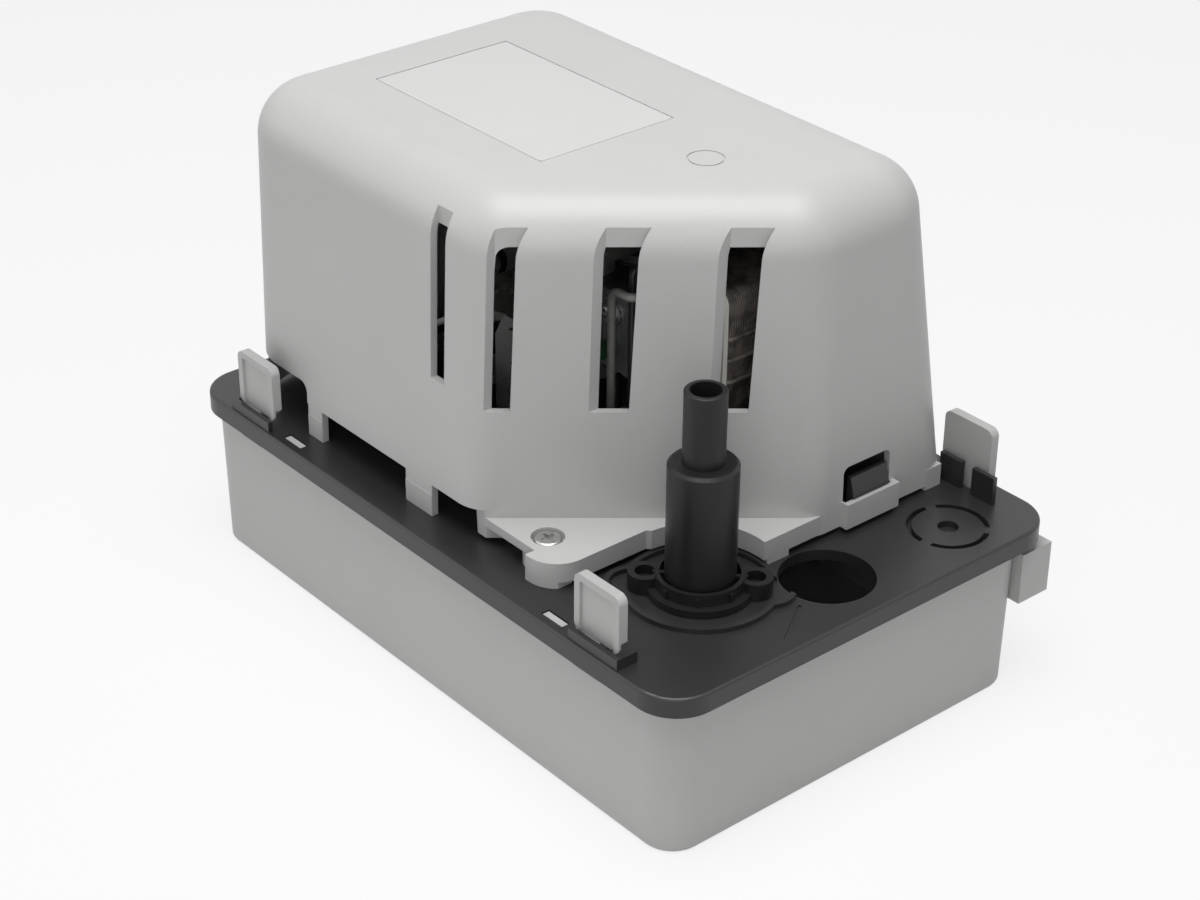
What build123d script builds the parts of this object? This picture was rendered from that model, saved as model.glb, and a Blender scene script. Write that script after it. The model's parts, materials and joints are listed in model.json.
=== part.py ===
from build123d import *
import os
from math import asin, atan2, cos, degrees, hypot, pi, radians, sin, sqrt, tan

os.makedirs("parts", exist_ok=True)

# Condensate pump, millimetres. +Z is up, +Y points to the wall it hangs on and +X to the
# end with the drain inlet. The origin lies under the lid's centre, on the tank's bottom.

# ---------------------------------------------------------------- shared fits
RUNNING_FIT = 0.05          # radial play of shafts and pins in their bores
LOOSE_FIT = 0.3             # gap between pieces that must not rub
SEAT_GAP = 0.1              # gap between pieces that rest on each other
OVERLAP = 1.0               # how far a feature starts inside the body it grows from
OVERCUT = 1.0               # how far a cut starts or ends outside the body

# ---------------------------------------------------------------- lid
LID_LENGTH = 205.0
LID_WIDTH = 135.0
LID_CORNER = 12.0
LID_TOP = 48.6
LID_PLATE = 3.0
SKIRT_HEIGHT = 5.5
SKIRT_WALL = 1.8
LID_EDGE = 0.8              # rounded edge of the lid's top
LID_UNDER = LID_TOP - LID_PLATE

# ---------------------------------------------------------------- tank
TANK_INSET = 2.7            # tank wall behind the lid's edge, front and ends
TANK_REAR_INSET = 7.9
TANK_WALL = 2.5
TANK_FLOOR = 2.5
TANK_CORNER = 9.5
TANK_DRAFT = 0.9            # degrees
TANK_BASE_RADIUS = 1.6
LUG_SIZE = (12.3, 15.0)     # width and height of a wall lug
LUG_TOP = 40.0
LUG_FACE = LID_WIDTH / 2 + 0.7      # the lugs' plane against the wall
LUG_WALL = 2.4
LUG_SLOT = 5.0              # takes the shank of a wall screw
LUG_SLOT_HEIGHT = 8.5
LUG_OVERHANG = 0.5          # the lugs stand out past the tank's ends
LEDGE_HEIGHT = 5.0          # ledges that carry the rear clips
LEDGE_TAPER = 12.0
TONGUE_OFFSET = 16.8        # from a front clip's centre to the tank's tongue beside it

# ---------------------------------------------------------------- release clips
CLIP_INSETS = (28.8, 30.5)  # of the clips from the lid's ends, along its long sides
CLIP_NEAR_END = LID_LENGTH / 2 - CLIP_INSETS[0]
CLIP_FAR_END = LID_LENGTH / 2 - CLIP_INSETS[1]
CLIP_CENTRES = {"clip_front_left": (-CLIP_NEAR_END, -1), "clip_front_right": (CLIP_FAR_END, -1),
                "clip_rear_right": (CLIP_NEAR_END, 1), "clip_rear_left": (-CLIP_FAR_END, 1)}
CLIP_FACE = LID_WIDTH / 2 - 4.5     # distance of a clip's middle plane from the lid's centre line
CLIP_THICKNESS = 2.0
CLIP_WIDTH = 16.6
CLIP_TOP = 67.2
CLIP_PLATE_BOTTOM = 50.9
CLIP_CORNER = 2.2
CLIP_BORDER = 2.0
CLIP_BORDER_PROUD = 0.7
CLIP_STEM = 9.0
CLIP_STEM_SHIFT = 3.8       # the stem is nearer to one end of the clip
CLIP_CHAMFER = 3.4          # cuts the other lower corner
CLIP_ROOT = 40.0
CLIP_HOOK = 0.55            # how far the barb laps over the lid
CLIP_BARB = 2.2             # height of the barb
CLIP_LEDGE = 4.0            # depth of the ledge that carries a rear clip
CLIP_SLOT_INNER = 1.6       # room behind a stem for its swing
GUARD_HEIGHT = 3.0
GUARD_WALL = 1.4
GUARD_LINE = CLIP_FACE + 3.0        # guards before the front clips, from the lid's centre line
GUARD_RETURN = 6.5
POST_HEIGHT = 8.0           # posts before the rear clips
POST_SIZE = (7.6, 1.4)
POST_STEP = 5.7
POST_LINE = CLIP_FACE - 4.0

# ---------------------------------------------------------------- cover
COVER_BOTTOM = 50.0
COVER_TOP = 142.9
COVER_WALL = 2.0
COVER_ROOF = 2.2
COVER_EDGE = 14.8           # radius between walls and roof
COVER_INSET_X = (12.3, 31.9)        # from the lid's far end and from its inlet end
COVER_INSET_Y = (9.2, 7.6)          # from the lid's front and from its rear
COVER_LEAN_X = (0.6, 2.0)           # how far the walls lean in from base to roof
COVER_LEAN_Y = (2.0, 9.6)
BASE_X = (COVER_INSET_X[0] - LID_LENGTH / 2, LID_LENGTH / 2 - COVER_INSET_X[1])
BASE_Y = (COVER_INSET_Y[0] - LID_WIDTH / 2, LID_WIDTH / 2 - COVER_INSET_Y[1])
ROOF_X = (BASE_X[0] + COVER_LEAN_X[0], BASE_X[1] - COVER_LEAN_X[1])
ROOF_Y = (BASE_Y[0] + COVER_LEAN_Y[0], BASE_Y[1] - COVER_LEAN_Y[1])
BASE_CUT = (14.5, 9.8)      # where the slanted wall meets the front and the end wall
ROOF_CUT = (15.6, 8.2)
BASE_RADII = (17.0, 10.0, 10.0, 8.0, 17.0)
ROOF_RADII = (17.5, 20.0, 20.0, 17.5, 17.5)
VENT_LEFT = (-2.0, 16.4, 33.4, 52.5)
VENT_WIDTH = (5.6, 4.6, 6.4, 6.2)
VENT_SILLS = (89.4, 86.7, 86.7, 86.7)
VENT_FLARE = 1.3            # growth of a vent's width from its sill to its top
VENT_DEPTH = 2.3            # how far the vents reach in from the roof's outline
VENT_OVERCUT = (10.0, 5.0)  # behind the slanted wall and before the front wall
FRONT_GAP_TOP = 52.8        # lower edge of the front wall between its feet
FRONT_FEET = ((-58.0, -51.5), (-13.3, -2.0))
END_FEET = ((-7.2, 0.4), (50.3, 56.0))
FAR_FEET = ((-34.0, -26.0), (24.0, 32.0))
REAR_FEET = ((-40.0, -33.0), (18.0, 25.0))
ARCH_TOP = 64.0             # arches leave room to press the clips beside the cover
ARCH_SPAN = (BASE_X[0] + 4.2, BASE_X[0] + 31.8)
ARCH_DEPTH = 11.05
ARCH_CORNER = 3.0
LABEL_SIZE = (69.5, 44.0)
LABEL_CENTRE = (-29.0, -5.7)
LABEL_DEPTH = 0.3
LABEL_FILM = 0.24
LABEL_CORNER = 1.0
GATE_CENTRE = (29.8, 5.5)
GATE_RADIUS = 4.9
GATE_LINE = 0.5

# ---------------------------------------------------------------- flange and cover screw
FLANGE_TOP = 55.9
FLANGE_PLATE = 2.5
FLANGE_BOTTOM = 50.4
FLANGE_SIDE_Y = -9.3
FLANGE_INNER = 20.0         # how far the flange's outline runs in under the cover
FLANGE_CORNER = 9.0
FLANGE_GAP = 19.5           # radius of the bay round the outlet
FLANGE_FOOT = (36.8, 45.5)
FLANGE_FOOT_DEPTH = 8.0
COVER_SCREW_AT = (33.9, -48.6)
COVER_SCREW_RECESS = (4.4, 2.0)   # radius and depth

# ---------------------------------------------------------------- snap latch of the cover
LATCH_Y = (18.6, 37.6)
LATCH_FRONT = BASE_X[1] + 2.4
LATCH_ROOT = 2.0            # how far the pocket's block starts behind the wall's face
LATCH_CHEEK = 0.6
LATCH_CORNER = 2.0
LATCH_RIM = 57.3
LATCH_WINDOW_TOP = 66.8
LATCH_WALL = 1.6
LATCH_TONGUE = 1.5
LATCH_BARB = 1.0
LATCH_BARB_EDGE = 0.8
LATCH_PLAY = 0.5            # between the tongue and the pocket's front
LATCH_SIDE_PLAY = 3.0
TONGUE_RISE = 6.0           # the tongue's top above the pocket's rim
TONGUE_TIP = 1.2            # the tongue's thickness at its top

# ---------------------------------------------------------------- lid openings
INLET_AT = (LID_LENGTH / 2 - 18.5, 1.0)
INLET_RADIUS = 12.5
KNOCKOUT_AT = (LID_LENGTH / 2 - 15.6, LID_WIDTH / 2 - 25.6)
KNOCKOUT_RADIUS = 10.9
KNOCKOUT_GROOVE = 1.5
KNOCKOUT_BRIDGE = 3.0
KNOCKOUT_BRIDGES = 3
KNOCKOUT_PILOT = 2.8
TONGUE_SLOT = 8.0
KNOCKOUT_TURN = 40.0
KNOCKOUT_DEPTH = 1.8
RELIEF_ENDS = ((LID_LENGTH / 2 - 13.4, -13.3), (LID_LENGTH / 2 - 4.7, -26.7))
RELIEF_SECTION = (1.0, 0.4)         # width and depth of the relief line in the lid

# ---------------------------------------------------------------- discharge
OUTLET_AT = (LID_LENGTH / 2 - 34.5, 39.9 - LID_WIDTH / 2)
FLANGE_SIDE_X = OUTLET_AT[0] - 20.6
SOCKET_RADIUS = 10.6
SOCKET_BORE = 8.2
SOCKET_BOTTOM = 23.0
RING_RADIUS = 20.0
RING_WALL = 1.5
RING_HEIGHT = 1.3
RING_CLEARANCE = 0.5        # the ring stops this far from the drain inlet
LOBE_RADIUS = 7.4
LOBE_REACH = 16.8
EAR_ANGLE = 45.0            # degrees, closed position of the bayonet ears
COLLAR_RADIUS = 13.6
COLLAR_PLATE = 2.0
LIP_RADIUS = 11.4
LIP_WALL = 1.2
LIP_TOP = 54.0
EAR_REACH = 13.8
EAR_RADIUS = 4.4
EAR_NECK = 7.04
EAR_HOLE = 2.6
EAR_HEIGHT = 4.6
SPOKES = 8
SPOKE_WALL = 1.2
SPOKE_ROOT = 0.5            # how far a spoke runs into each wall it joins
SPOKE_DROP = 1.0            # the spokes' tops below the lip's
SLEEVE_RADIUS = 9.0
SLEEVE_TOP = 85.5
SLEEVE_CHAMFER = 0.8
SLEEVE_BORE = 6.9
SLEEVE_BORE_BOTTOM = 70.0
TUBE_RADIUS = 5.4
TUBE_BORE = 4.0
TUBE_TOP = 105.3
TUBE_EDGE = 0.5
PLUG_LENGTH = 14.0
SPIGOT_BOTTOM = 27.0
SPIGOT_PLAY = 0.15
CHAMBER_RADIUS = 6.2
CHAMBER_TOP = 46.0
SEAT_RADIUS = 3.8
SEAT_THICKNESS = 2.0
FLOW_BORE = 4.2
ORING_WIRE = 1.3
ORING_GROOVE = 1.56
ORING_LEVELS = (42.0, 36.0)
POPPET_RADIUS = 5.4
POPPET_DISC = 1.8
POPPET_STEM = 1.4
POPPET_EDGE = 0.6
POPPET_LIFT = 3.0
SPRING_WIRE = 0.35
SPRING_TURNS = 5
SPRING_INSET = 0.9          # the coil's radius inside the poppet's

# ---------------------------------------------------------------- pump
PUMP_AT = (6.0, 8.0)
SHAFT_RADIUS = 2.5
SHAFT_PROUD = 1.0           # the shaft's end above the fan
SHAFT_CHAMFER = 0.4
VOLUTE_RADIUS = 20.0
VOLUTE_TOP = 22.0
VOLUTE_BOTTOM = 9.5
CHAMBER_ROOF = 19.0
IMPELLER_CHAMBER = 17.0
IMPELLER_RADIUS = 14.5
IMPELLER_LEVELS = (10.6, 18.0)
IMPELLER_DISC = 1.6
VANES = 6
VANE_WALL = 1.4
VANE_SWEEP = 55.0           # degrees of arc in a vane
VANE_ARC = 15.95
VANE_ROOT = 1.2             # where a vane starts, from the shaft's surface
IMPELLER_HUB = 1.6          # wall of the impeller's hub
EYE_RADIUS = 5.0
DUCT_RADIUS = 6.2
DUCT_BORE = 4.0
DUCT_INSET = 0.5            # the duct's bore inside the impeller chamber's wall
DUCT_RISE = 0.4             # the duct's underside above the volute's
RISER_BORE = 5.4
RISER_SUMP = 0.5            # the riser's floor below the duct's bore
RISER_FLOOR = 1.0
RISER_DROP = 1.0            # the riser's top below the valve's spigot
COLUMN_RADIUS = 11.0
COLUMN_BORE = 7.5
COLUMN_FLOOR = 3.0
SHAFT_PLAY = 0.4            # round the shaft where nothing guides it
COLUMN_FLANGE = 20.0
COLUMN_FLANGE_PLATE = 3.0
COLUMN_SCREW_CIRCLE = 15.8
COLUMN_SCREWS = 3
STRAINER_FOOT = (3.5, 2.0)
STRAINER_FEET = 6
COVER_PLATE_SCREWS = 4
COVER_PLATE_CIRCLE = 18.5
COVER_PLATE = 2.5
PLATE_EAR = 3.6
SCREW_BOSS = 3.4            # bosses on the lid over the column's screws
SCREW_BOSS_HEIGHT = 6.0
SCREW_BOSS_ROOF = 1.0
WINDOW_SIZE = (8.0, 12.0)   # windows in the column that drain it back to the tank
WINDOW_CORNER = 2.5

# ---------------------------------------------------------------- screws
# radius and height of the head, radius of the shank, length under the head
COVER_SCREW = (3.7, 1.8, 1.6, 10.0)
PLATE_SCREW = (2.4, 1.6, 1.2, 9.0)
COLUMN_SCREW = (2.8, 1.8, 1.5, 10.0)
BRACKET_SCREW = (2.8, 1.8, 1.5, 4.6)
EARTH_SCREW = (2.8, 1.8, 1.4, 0.8)
TERMINAL_SCREW = (2.1, 1.4, 1.2, 2.0)
MOTOR_SCREW_HEAD = (3.6, 2.2)
MOTOR_SCREW_GRIP = 12.0     # how far the motor screws reach into their posts

# ---------------------------------------------------------------- motor
STACK_LEVELS = (COVER_TOP - 55.9, COVER_TOP - 33.9)
STACK_LEFT = 24.0
STACK_HALF_DEPTH = 24.0
STACK_CORNER = 4.0
ROTOR_RADIUS = 12.0
AIR_GAP = 0.5
END_RING = (1.0, 2.2)       # how far it steps in from the rotor's surface, and its height
LEG_X = (27.0, 37.0)
WINDOW_LEFT = 17.0
WINDOW_HALF_DEPTH = 15.0
BOBBIN_WALL = 1.0
BOBBIN_CHEEK = 1.5
WINDING = 7.0               # thickness of the wound wire
CHEEK_CORNER = 4.2
WINDING_CORNER = 6.3
WINDING_INSET = 0.6         # the wire's surface inside the cheeks' edges
BRIDGE_WIDTH = 14.0
BRIDGE_PLATE = 3.0
BRIDGE_RISE = 4.0
BRIDGE_FOOT = 5.8           # radius of its feet on the stack
CUP_FLOOR = 1.5
CUP_HOLE = 0.5              # round the shaft through the cup's floor
BEARING_RADIUS = 5.5
BEARING_HEIGHT = 7.0
BEARING_CUP = 7.5
MOTOR_SCREW_OFFSET = 19.0
MOTOR_SCREW_RADIUS = 2.0
POST_RADIUS = 5.5
POST_DRAFT = 0.5            # degrees
POST_BORE_SPARE = 4.0       # bore below the motor screw's tip
GROMMET_HEIGHT = 5.0
GROMMET_RADIUS = 6.0
SHADING_BAR = 1.6
SHADING_OFFSET = 2.6        # of the bars from the rotor's surface
SHADING_ANGLES = (60, 240)
SHADING_PROUD = 1.0
TAG_OFFSET = (13.5, 5.0)    # earth tag's screw from the shaft and above the stack's middle
TAG_EYE = (3.6, 1.6)        # outer and hole radius
TAG_STEEL = 0.8
TAG_WIDTH = 4.0
TAG_DROP = 9.6              # from the screw down to the tag's blade
TAG_BLADE = 5.0
COIL_TAB = (2.8, 0.8)
COIL_TAB_LENGTH = 7.0
COIL_TAB_OFFSET = 4.0       # of each tab from the winding's middle
COIL_TAB_FOOT = 5.0
FAN_GAP = 1.2
FAN_HEIGHT = 7.0
FAN_RADIUS = 28.0
FAN_HUB = 6.5
FAN_BLADES = 8
FAN_BLADE_WALL = 1.2
FAN_PITCH = 35.0            # degrees
FAN_CHORD = 0.8             # blade width as a share of what the fan's height allows
SLINGER_RADIUS = 8.5
SLINGER_LEVEL = 56.5
SLINGER_PLATE = 1.6
SLINGER_HUB = (1.8, 5.0)    # wall and height
SEAL_RADIUS = 7.0
SEAL_HEIGHT = 5.0
SEAL_COLLAR = 2.0
SEAL_SKIN = 1.2             # the seal's outer wall
SEAL_LIP = 1.0
SEAL_HOLLOW = 3.0           # depth of the hollow behind the lip

# ---------------------------------------------------------------- float and switches
FLOAT_AT = (-55.0, 0.0)
FLOAT_SIZE = (46.0, 38.0, 18.0)
FLOAT_BOTTOM = 8.0
FLOAT_TRAVEL = 12.0
FLOAT_CORNER = 8.0
FLOAT_EDGE = 1.5
FLOAT_BOSS = (5.0, 2.0)     # radius and height
STEM_SOCKET = 12.0          # depth of the float's socket for its stem
STEM_SUNK = 9.0             # how far the stem stands below the float's top
STEM_RADIUS = 2.5
STEM_CHAMFER = 0.6
STOP_COLLAR = (2.2, 1.8)    # how far a stop stands out of the stem, and its thickness
STOP_PLAY = 1.3             # room for the fork between the stops as it tilts
BUSH_RADIUS = 5.0
BUSH_HEAD = 7.0
BUSH_SKIRT = 3.0            # the bush's length under the lid
BUSH_CAP = 3.0
LEVER_ARM = 30.0            # from the pivot to the float stem
LEVER_TAIL = 7.5
LEVER_PLATE = 2.5
LEVER_WIDTH = 12.0
LEVER_TAIL_WIDTH = 18.0
LEVER_PIVOT_Z = 78.0
STEM_SPARE = 10.0           # the stem's top above the lever's pivot
LEVER_TIP = 6.0             # the fork's end past the stem
FORK_SLOT = (14.0, 2.0)     # length, and how far its middle lies past the stem
LEVER_HUB = 1.2             # wall round the pin
PIN_PROUD = 1.0
PIN_CHAMFER = 0.3
PLUNGER_PLAY = 0.02
LEVER_PIN = 1.5
PLUNGER_ARM = 4.0
PLUNGER_RADIUS = 1.2
PLUNGER_PROUD = 2.8
PLUNGER_HIDDEN = 2.6        # how far a plunger reaches into its switch
PLUNGER_POCKET = 3.0        # the pocket's depth below the plunger's travel
PLUNGER_TIP = 1.08          # the rounding of its top
SWITCH_NOSE = 7.0           # from a switch's end to its plunger
SWITCH_HOLES = (-4.8, 4.7)  # fixing holes along the switch, from the plunger
SWITCH_HOLE_DROP = 7.2
SWITCH_PIN = 1.1
SWITCH_TABS = (2.5, 10.0, 17.5)     # terminals along the switch, from its end
SWITCH_TAB = (0.6, 3.2)
SWITCH_TAB_LENGTH = 4.5
SWITCH_SIZE = (20.0, 6.4, 10.0)
SWITCH_OFFSET = 5.0
BRACKET_SIDE = 11.2
BRACKET_WALL = 1.5
BRACKET_X = (-33.0, -9.0)
BRACKET_BASE = 2.0
BRACKET_SCREW_EDGE = 4.0
BRACKET_EAR = 4.0           # half the width of an ear and its height above the pin
BRACKET_CORNER = 3.0
SWITCH_PIN_PROUD = 0.6

# ---------------------------------------------------------------- wiring pieces
TERMINAL_AT = (BASE_X[0] + 20.2, BASE_Y[1] - 29.9)
TERMINAL_SIZE = (26.0, 16.0, 13.0)
TERMINAL_POLES = 3
TERMINAL_BASE = 7.8         # height of the block's base
POLE_MARGIN = (1.4, 3.0)    # what a pole's top leaves free along and across the block
POLE_CORNER = 1.5
POLE_WELL = (2.3, 4.0)      # radius and depth over a screw
POLE_THREAD = 2.5
GLAND_AT = (25.0, 64.0)     # Y and Z of the cord bush in the far end wall
GLAND_NECK = 6.0
GLAND_FLANGE = 8.4
GLAND_PLATE = 1.6
GLAND_PROUD = 1.8           # the flange's outer face before the wall's foot
GLAND_REACH = 6.0           # the neck's length behind the wall
GLAND_BARB = (1.0, 0.6, 2.0)        # how far it stands out, its gap to the wall and its length
GLAND_BORE = 3.6
TERMINAL_ENTRY = (4.0, 1.6)         # height over the lid and radius of a pole's wire entry
LEAD_RADIUS = 1.1
LEAD_BEND = 3.0
TIGHT_BEND = 1.8
LEAD_HELD = 10.0            # length of a lead inside its pole
RECEPTACLE_LENGTH = 6.4
RECEPTACLE_WALL = 0.8
EARTH_RUN_Y = -27.0         # the leads' runs over the lid, before the motor
NEUTRAL_RUN_Y = -21.5
SWITCHED_RUN_Y = -18.0
NEUTRAL_RISE_X = 26.0
SWITCHED_RISE_X = 30.0
SWITCHED_LIFT = 5.7         # the switched lead's top run above the winding's tabs
LEAD_SUNK = 0.5             # how far a lead starts inside its receptacle
RECEPTACLE_END = 1.2        # its closed end
SUPPLY_RUN = (-37.5, 16.0)          # X and Y of the supply lead's runs to the switch
SWITCHED_START_X = -6.9


def finish(piece, name):
    """Label a finished sub-part and write it as parts/name.step."""
    piece.part.label = name
    export_step(piece.part, f"parts/{name}.step")


def rounded_outline(x_span, y_span, radius):
    """A face for a rounded rectangle that spans x_span and y_span."""
    with BuildSketch(mode=Mode.PRIVATE) as outline:
        with Locations(((x_span[0] + x_span[1]) / 2, (y_span[0] + y_span[1]) / 2)):
            RectangleRounded(x_span[1] - x_span[0], y_span[1] - y_span[0], radius)
    return outline.sketch


def screw(head_radius, head_height, shank_radius, length):
    """A pan-head cross-recess screw: head above Z 0, shank below, in shares of its own radii."""
    with BuildPart(mode=Mode.PRIVATE) as blank:
        with BuildSketch():
            Circle(head_radius)
        extrude(amount=head_height)
        fillet(blank.faces().sort_by(Axis.Z)[-1].edges(), head_height * 0.45)
        with BuildSketch():
            Circle(shank_radius)
        extrude(amount=-length)
        chamfer(blank.faces().sort_by(Axis.Z)[0].edges(), shank_radius * 0.4)
        with BuildSketch(Plane.XY.offset(head_height)):
            Rectangle(head_radius * 1.1, head_radius * 0.28)
            Rectangle(head_radius * 0.28, head_radius * 1.1)
        extrude(amount=-head_height * 0.6, mode=Mode.SUBTRACT)
    return blank.part


# ================================================================ tank
tank_x = LID_LENGTH / 2 - TANK_INSET
tank_front = -(LID_WIDTH / 2 - TANK_INSET)
tank_rear = LID_WIDTH / 2 - TANK_REAR_INSET
lug_centre = tank_x - LUG_SIZE[0] / 2 + LUG_OVERHANG
front_clips = [x for x, side in CLIP_CENTRES.values() if side < 0]
tongues = [x - TONGUE_OFFSET if x > 0 else x + TONGUE_OFFSET for x in front_clips]
stems = {name: x + side * CLIP_STEM_SHIFT for name, (x, side) in CLIP_CENTRES.items()}
front_stems = [stems[name] for name, (x, side) in CLIP_CENTRES.items() if side < 0]
rear_stems = [stems[name] for name, (x, side) in CLIP_CENTRES.items() if side > 0]
stem_gap = CLIP_STEM + 2 * LOOSE_FIT
clip_seat = CLIP_ROOT - SEAT_GAP
ledge_front = CLIP_FACE - CLIP_LEDGE / 2

with BuildPart() as tank:
    with BuildSketch(Plane.XY.offset(LID_UNDER)):
        add(rounded_outline((-tank_x, tank_x), (tank_front, tank_rear), TANK_CORNER))
    extrude(amount=-LID_UNDER, taper=TANK_DRAFT)
    fillet(tank.faces().sort_by(Axis.Z)[0].edges(), TANK_BASE_RADIUS)
    with BuildSketch(Plane.XY.offset(LID_UNDER)):
        add(rounded_outline((-tank_x + TANK_WALL, tank_x - TANK_WALL),
                            (tank_front + TANK_WALL, tank_rear - TANK_WALL), TANK_CORNER - TANK_WALL))
    extrude(amount=-(LID_UNDER - TANK_FLOOR), taper=TANK_DRAFT, mode=Mode.SUBTRACT)
    # wall lugs: boxes open at the bottom, with a slot that drops over a wall screw's shank
    for side in (-1, 1):
        with BuildSketch(Plane.XY.offset(LUG_TOP)):
            with Locations((side * lug_centre, (tank_rear - TANK_WALL + LUG_FACE) / 2)):
                Rectangle(LUG_SIZE[0], LUG_FACE - tank_rear + TANK_WALL)
        extrude(amount=-LUG_SIZE[1])
    inside_top = LUG_TOP - LUG_WALL
    for side in (-1, 1):
        with BuildSketch(Plane.XY.offset(inside_top)):
            with Locations((side * lug_centre, (tank_rear + LUG_FACE - LUG_WALL) / 2)):
                Rectangle(LUG_SIZE[0] - 2 * LUG_WALL, LUG_FACE - LUG_WALL - tank_rear)
        extrude(amount=-LUG_SIZE[1], mode=Mode.SUBTRACT)
        slot_top = LUG_TOP - LUG_SIZE[1] + LUG_SLOT_HEIGHT
        with BuildSketch(Plane.XZ.offset(-LUG_FACE)):
            with Locations((side * lug_centre, slot_top)):
                Circle(LUG_SLOT / 2)
            with Locations((side * lug_centre, slot_top - LUG_SLOT_HEIGHT)):
                Rectangle(LUG_SLOT, 2 * LUG_SLOT_HEIGHT)
        extrude(amount=LUG_WALL, mode=Mode.SUBTRACT)
    # ledges on the rear wall carry the rear clips, notches in the front wall take the front ones
    with BuildSketch(Plane.XY.offset(clip_seat)):
        for x in rear_stems:
            with Locations((x, (tank_rear - TANK_WALL / 2 + ledge_front + CLIP_LEDGE) / 2)):
                Rectangle(stem_gap + 2, ledge_front + CLIP_LEDGE - tank_rear + TANK_WALL / 2)
    extrude(amount=-LEDGE_HEIGHT, taper=LEDGE_TAPER)
    with BuildSketch(Plane.XY.offset(clip_seat)):
        for x in front_stems:
            with Locations((x, tank_front + TANK_WALL / 2)):
                Rectangle(stem_gap, 2 * TANK_WALL)
    extrude(amount=LID_UNDER, mode=Mode.SUBTRACT)
    # tongues that stand in the lid's small slots beside the front clips
    with BuildSketch(Plane.XY.offset(LID_UNDER)):
        with Locations(*[(x, tank_front + TANK_WALL / 2) for x in tongues]):
            Rectangle(TONGUE_SLOT - 2 * LOOSE_FIT, TANK_WALL - 2 * LOOSE_FIT)
    extrude(amount=LID_PLATE - LOOSE_FIT)
finish(tank, "tank")


# ================================================================ release clips
def clip(x, side):
    """A sprung release clip with its barb, hinged where its stem leaves the tank."""
    face = Plane(origin=(x, side * CLIP_FACE, 0), x_dir=(1, 0, 0), z_dir=(0, side, 0))
    up = face.to_local_coords(Vector(x, side * CLIP_FACE, 1)).Y
    with BuildPart() as piece:
        with BuildSketch(face):
            with Locations((0, up * (CLIP_PLATE_BOTTOM + CLIP_TOP) / 2)):
                Rectangle(CLIP_WIDTH, CLIP_TOP - CLIP_PLATE_BOTTOM)
        extrude(amount=CLIP_THICKNESS / 2, both=True)
        corners = piece.edges().filter_by(Axis.Y).group_by(Axis.Z)
        fillet(corners[-1], CLIP_CORNER)
        chamfer(piece.edges().filter_by(Axis.Y).group_by(Axis.Z)[0].sort_by(Axis.X)[0 if side > 0 else -1],
                CLIP_CHAMFER)
        with BuildSketch(face.offset(CLIP_THICKNESS / 2)):
            with Locations((0, up * (CLIP_PLATE_BOTTOM + CLIP_TOP) / 2)):
                RectangleRounded(CLIP_WIDTH, CLIP_TOP - CLIP_PLATE_BOTTOM, CLIP_CORNER)
            with Locations((0, up * (CLIP_PLATE_BOTTOM + CLIP_TOP - 2 * CLIP_BORDER) / 2)):
                Rectangle(CLIP_WIDTH - 2 * CLIP_BORDER, CLIP_TOP - CLIP_PLATE_BOTTOM, mode=Mode.SUBTRACT)
        extrude(amount=CLIP_BORDER_PROUD)
        with BuildSketch(face):
            with Locations((side * CLIP_STEM_SHIFT, up * (CLIP_ROOT + CLIP_PLATE_BOTTOM + OVERLAP) / 2)):
                Rectangle(CLIP_STEM, CLIP_PLATE_BOTTOM + OVERLAP - CLIP_ROOT)
        extrude(amount=CLIP_THICKNESS / 2, both=True)
        # barb over the lid's edge, on the outer side
        with BuildSketch(Plane.YZ.offset(x + side * CLIP_STEM_SHIFT - CLIP_STEM / 2)):
            with BuildLine():
                y = side * (CLIP_FACE + CLIP_THICKNESS / 2)
                z = LID_TOP + SEAT_GAP
                Polyline((y, z), (y + side * (LOOSE_FIT + CLIP_HOOK), z), (y, z + CLIP_BARB), close=True)
            make_face()
        extrude(amount=CLIP_STEM)
    return piece


for name, (x, side) in CLIP_CENTRES.items():
    finish(clip(x, side), name)


# ================================================================ lid
ring_lobes = [(LOBE_REACH * cos(radians(a)), LOBE_REACH * sin(radians(a)))
              for a in (EAR_ANGLE, EAR_ANGLE + 180)]
pump_x, pump_y = PUMP_AT
posts = [(pump_x, pump_y - MOTOR_SCREW_OFFSET), (pump_x, pump_y + MOTOR_SCREW_OFFSET)]
bridge_under = STACK_LEVELS[0] - BRIDGE_RISE - BRIDGE_PLATE
post_top = bridge_under - GROMMET_HEIGHT
column_screws = [(pump_x + COLUMN_SCREW_CIRCLE * cos(2 * pi * i / COLUMN_SCREWS),
                  pump_y + COLUMN_SCREW_CIRCLE * sin(2 * pi * i / COLUMN_SCREWS))
                 for i in range(COLUMN_SCREWS)]
bracket_screws = [(BRACKET_X[0] + BRACKET_SCREW_EDGE, 0), (BRACKET_X[1] - BRACKET_SCREW_EDGE, 0)]
clip_slot_y = (CLIP_FACE + CLIP_THICKNESS / 2 + LOOSE_FIT, CLIP_FACE - CLIP_THICKNESS / 2 - CLIP_SLOT_INNER)
tongue_x = LATCH_FRONT - LATCH_WALL - LATCH_PLAY - LATCH_TONGUE
relief_start, relief_end = (Vector(*point) for point in RELIEF_ENDS)
relief_turn = degrees(atan2(relief_end.Y - relief_start.Y, relief_end.X - relief_start.X))

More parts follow.
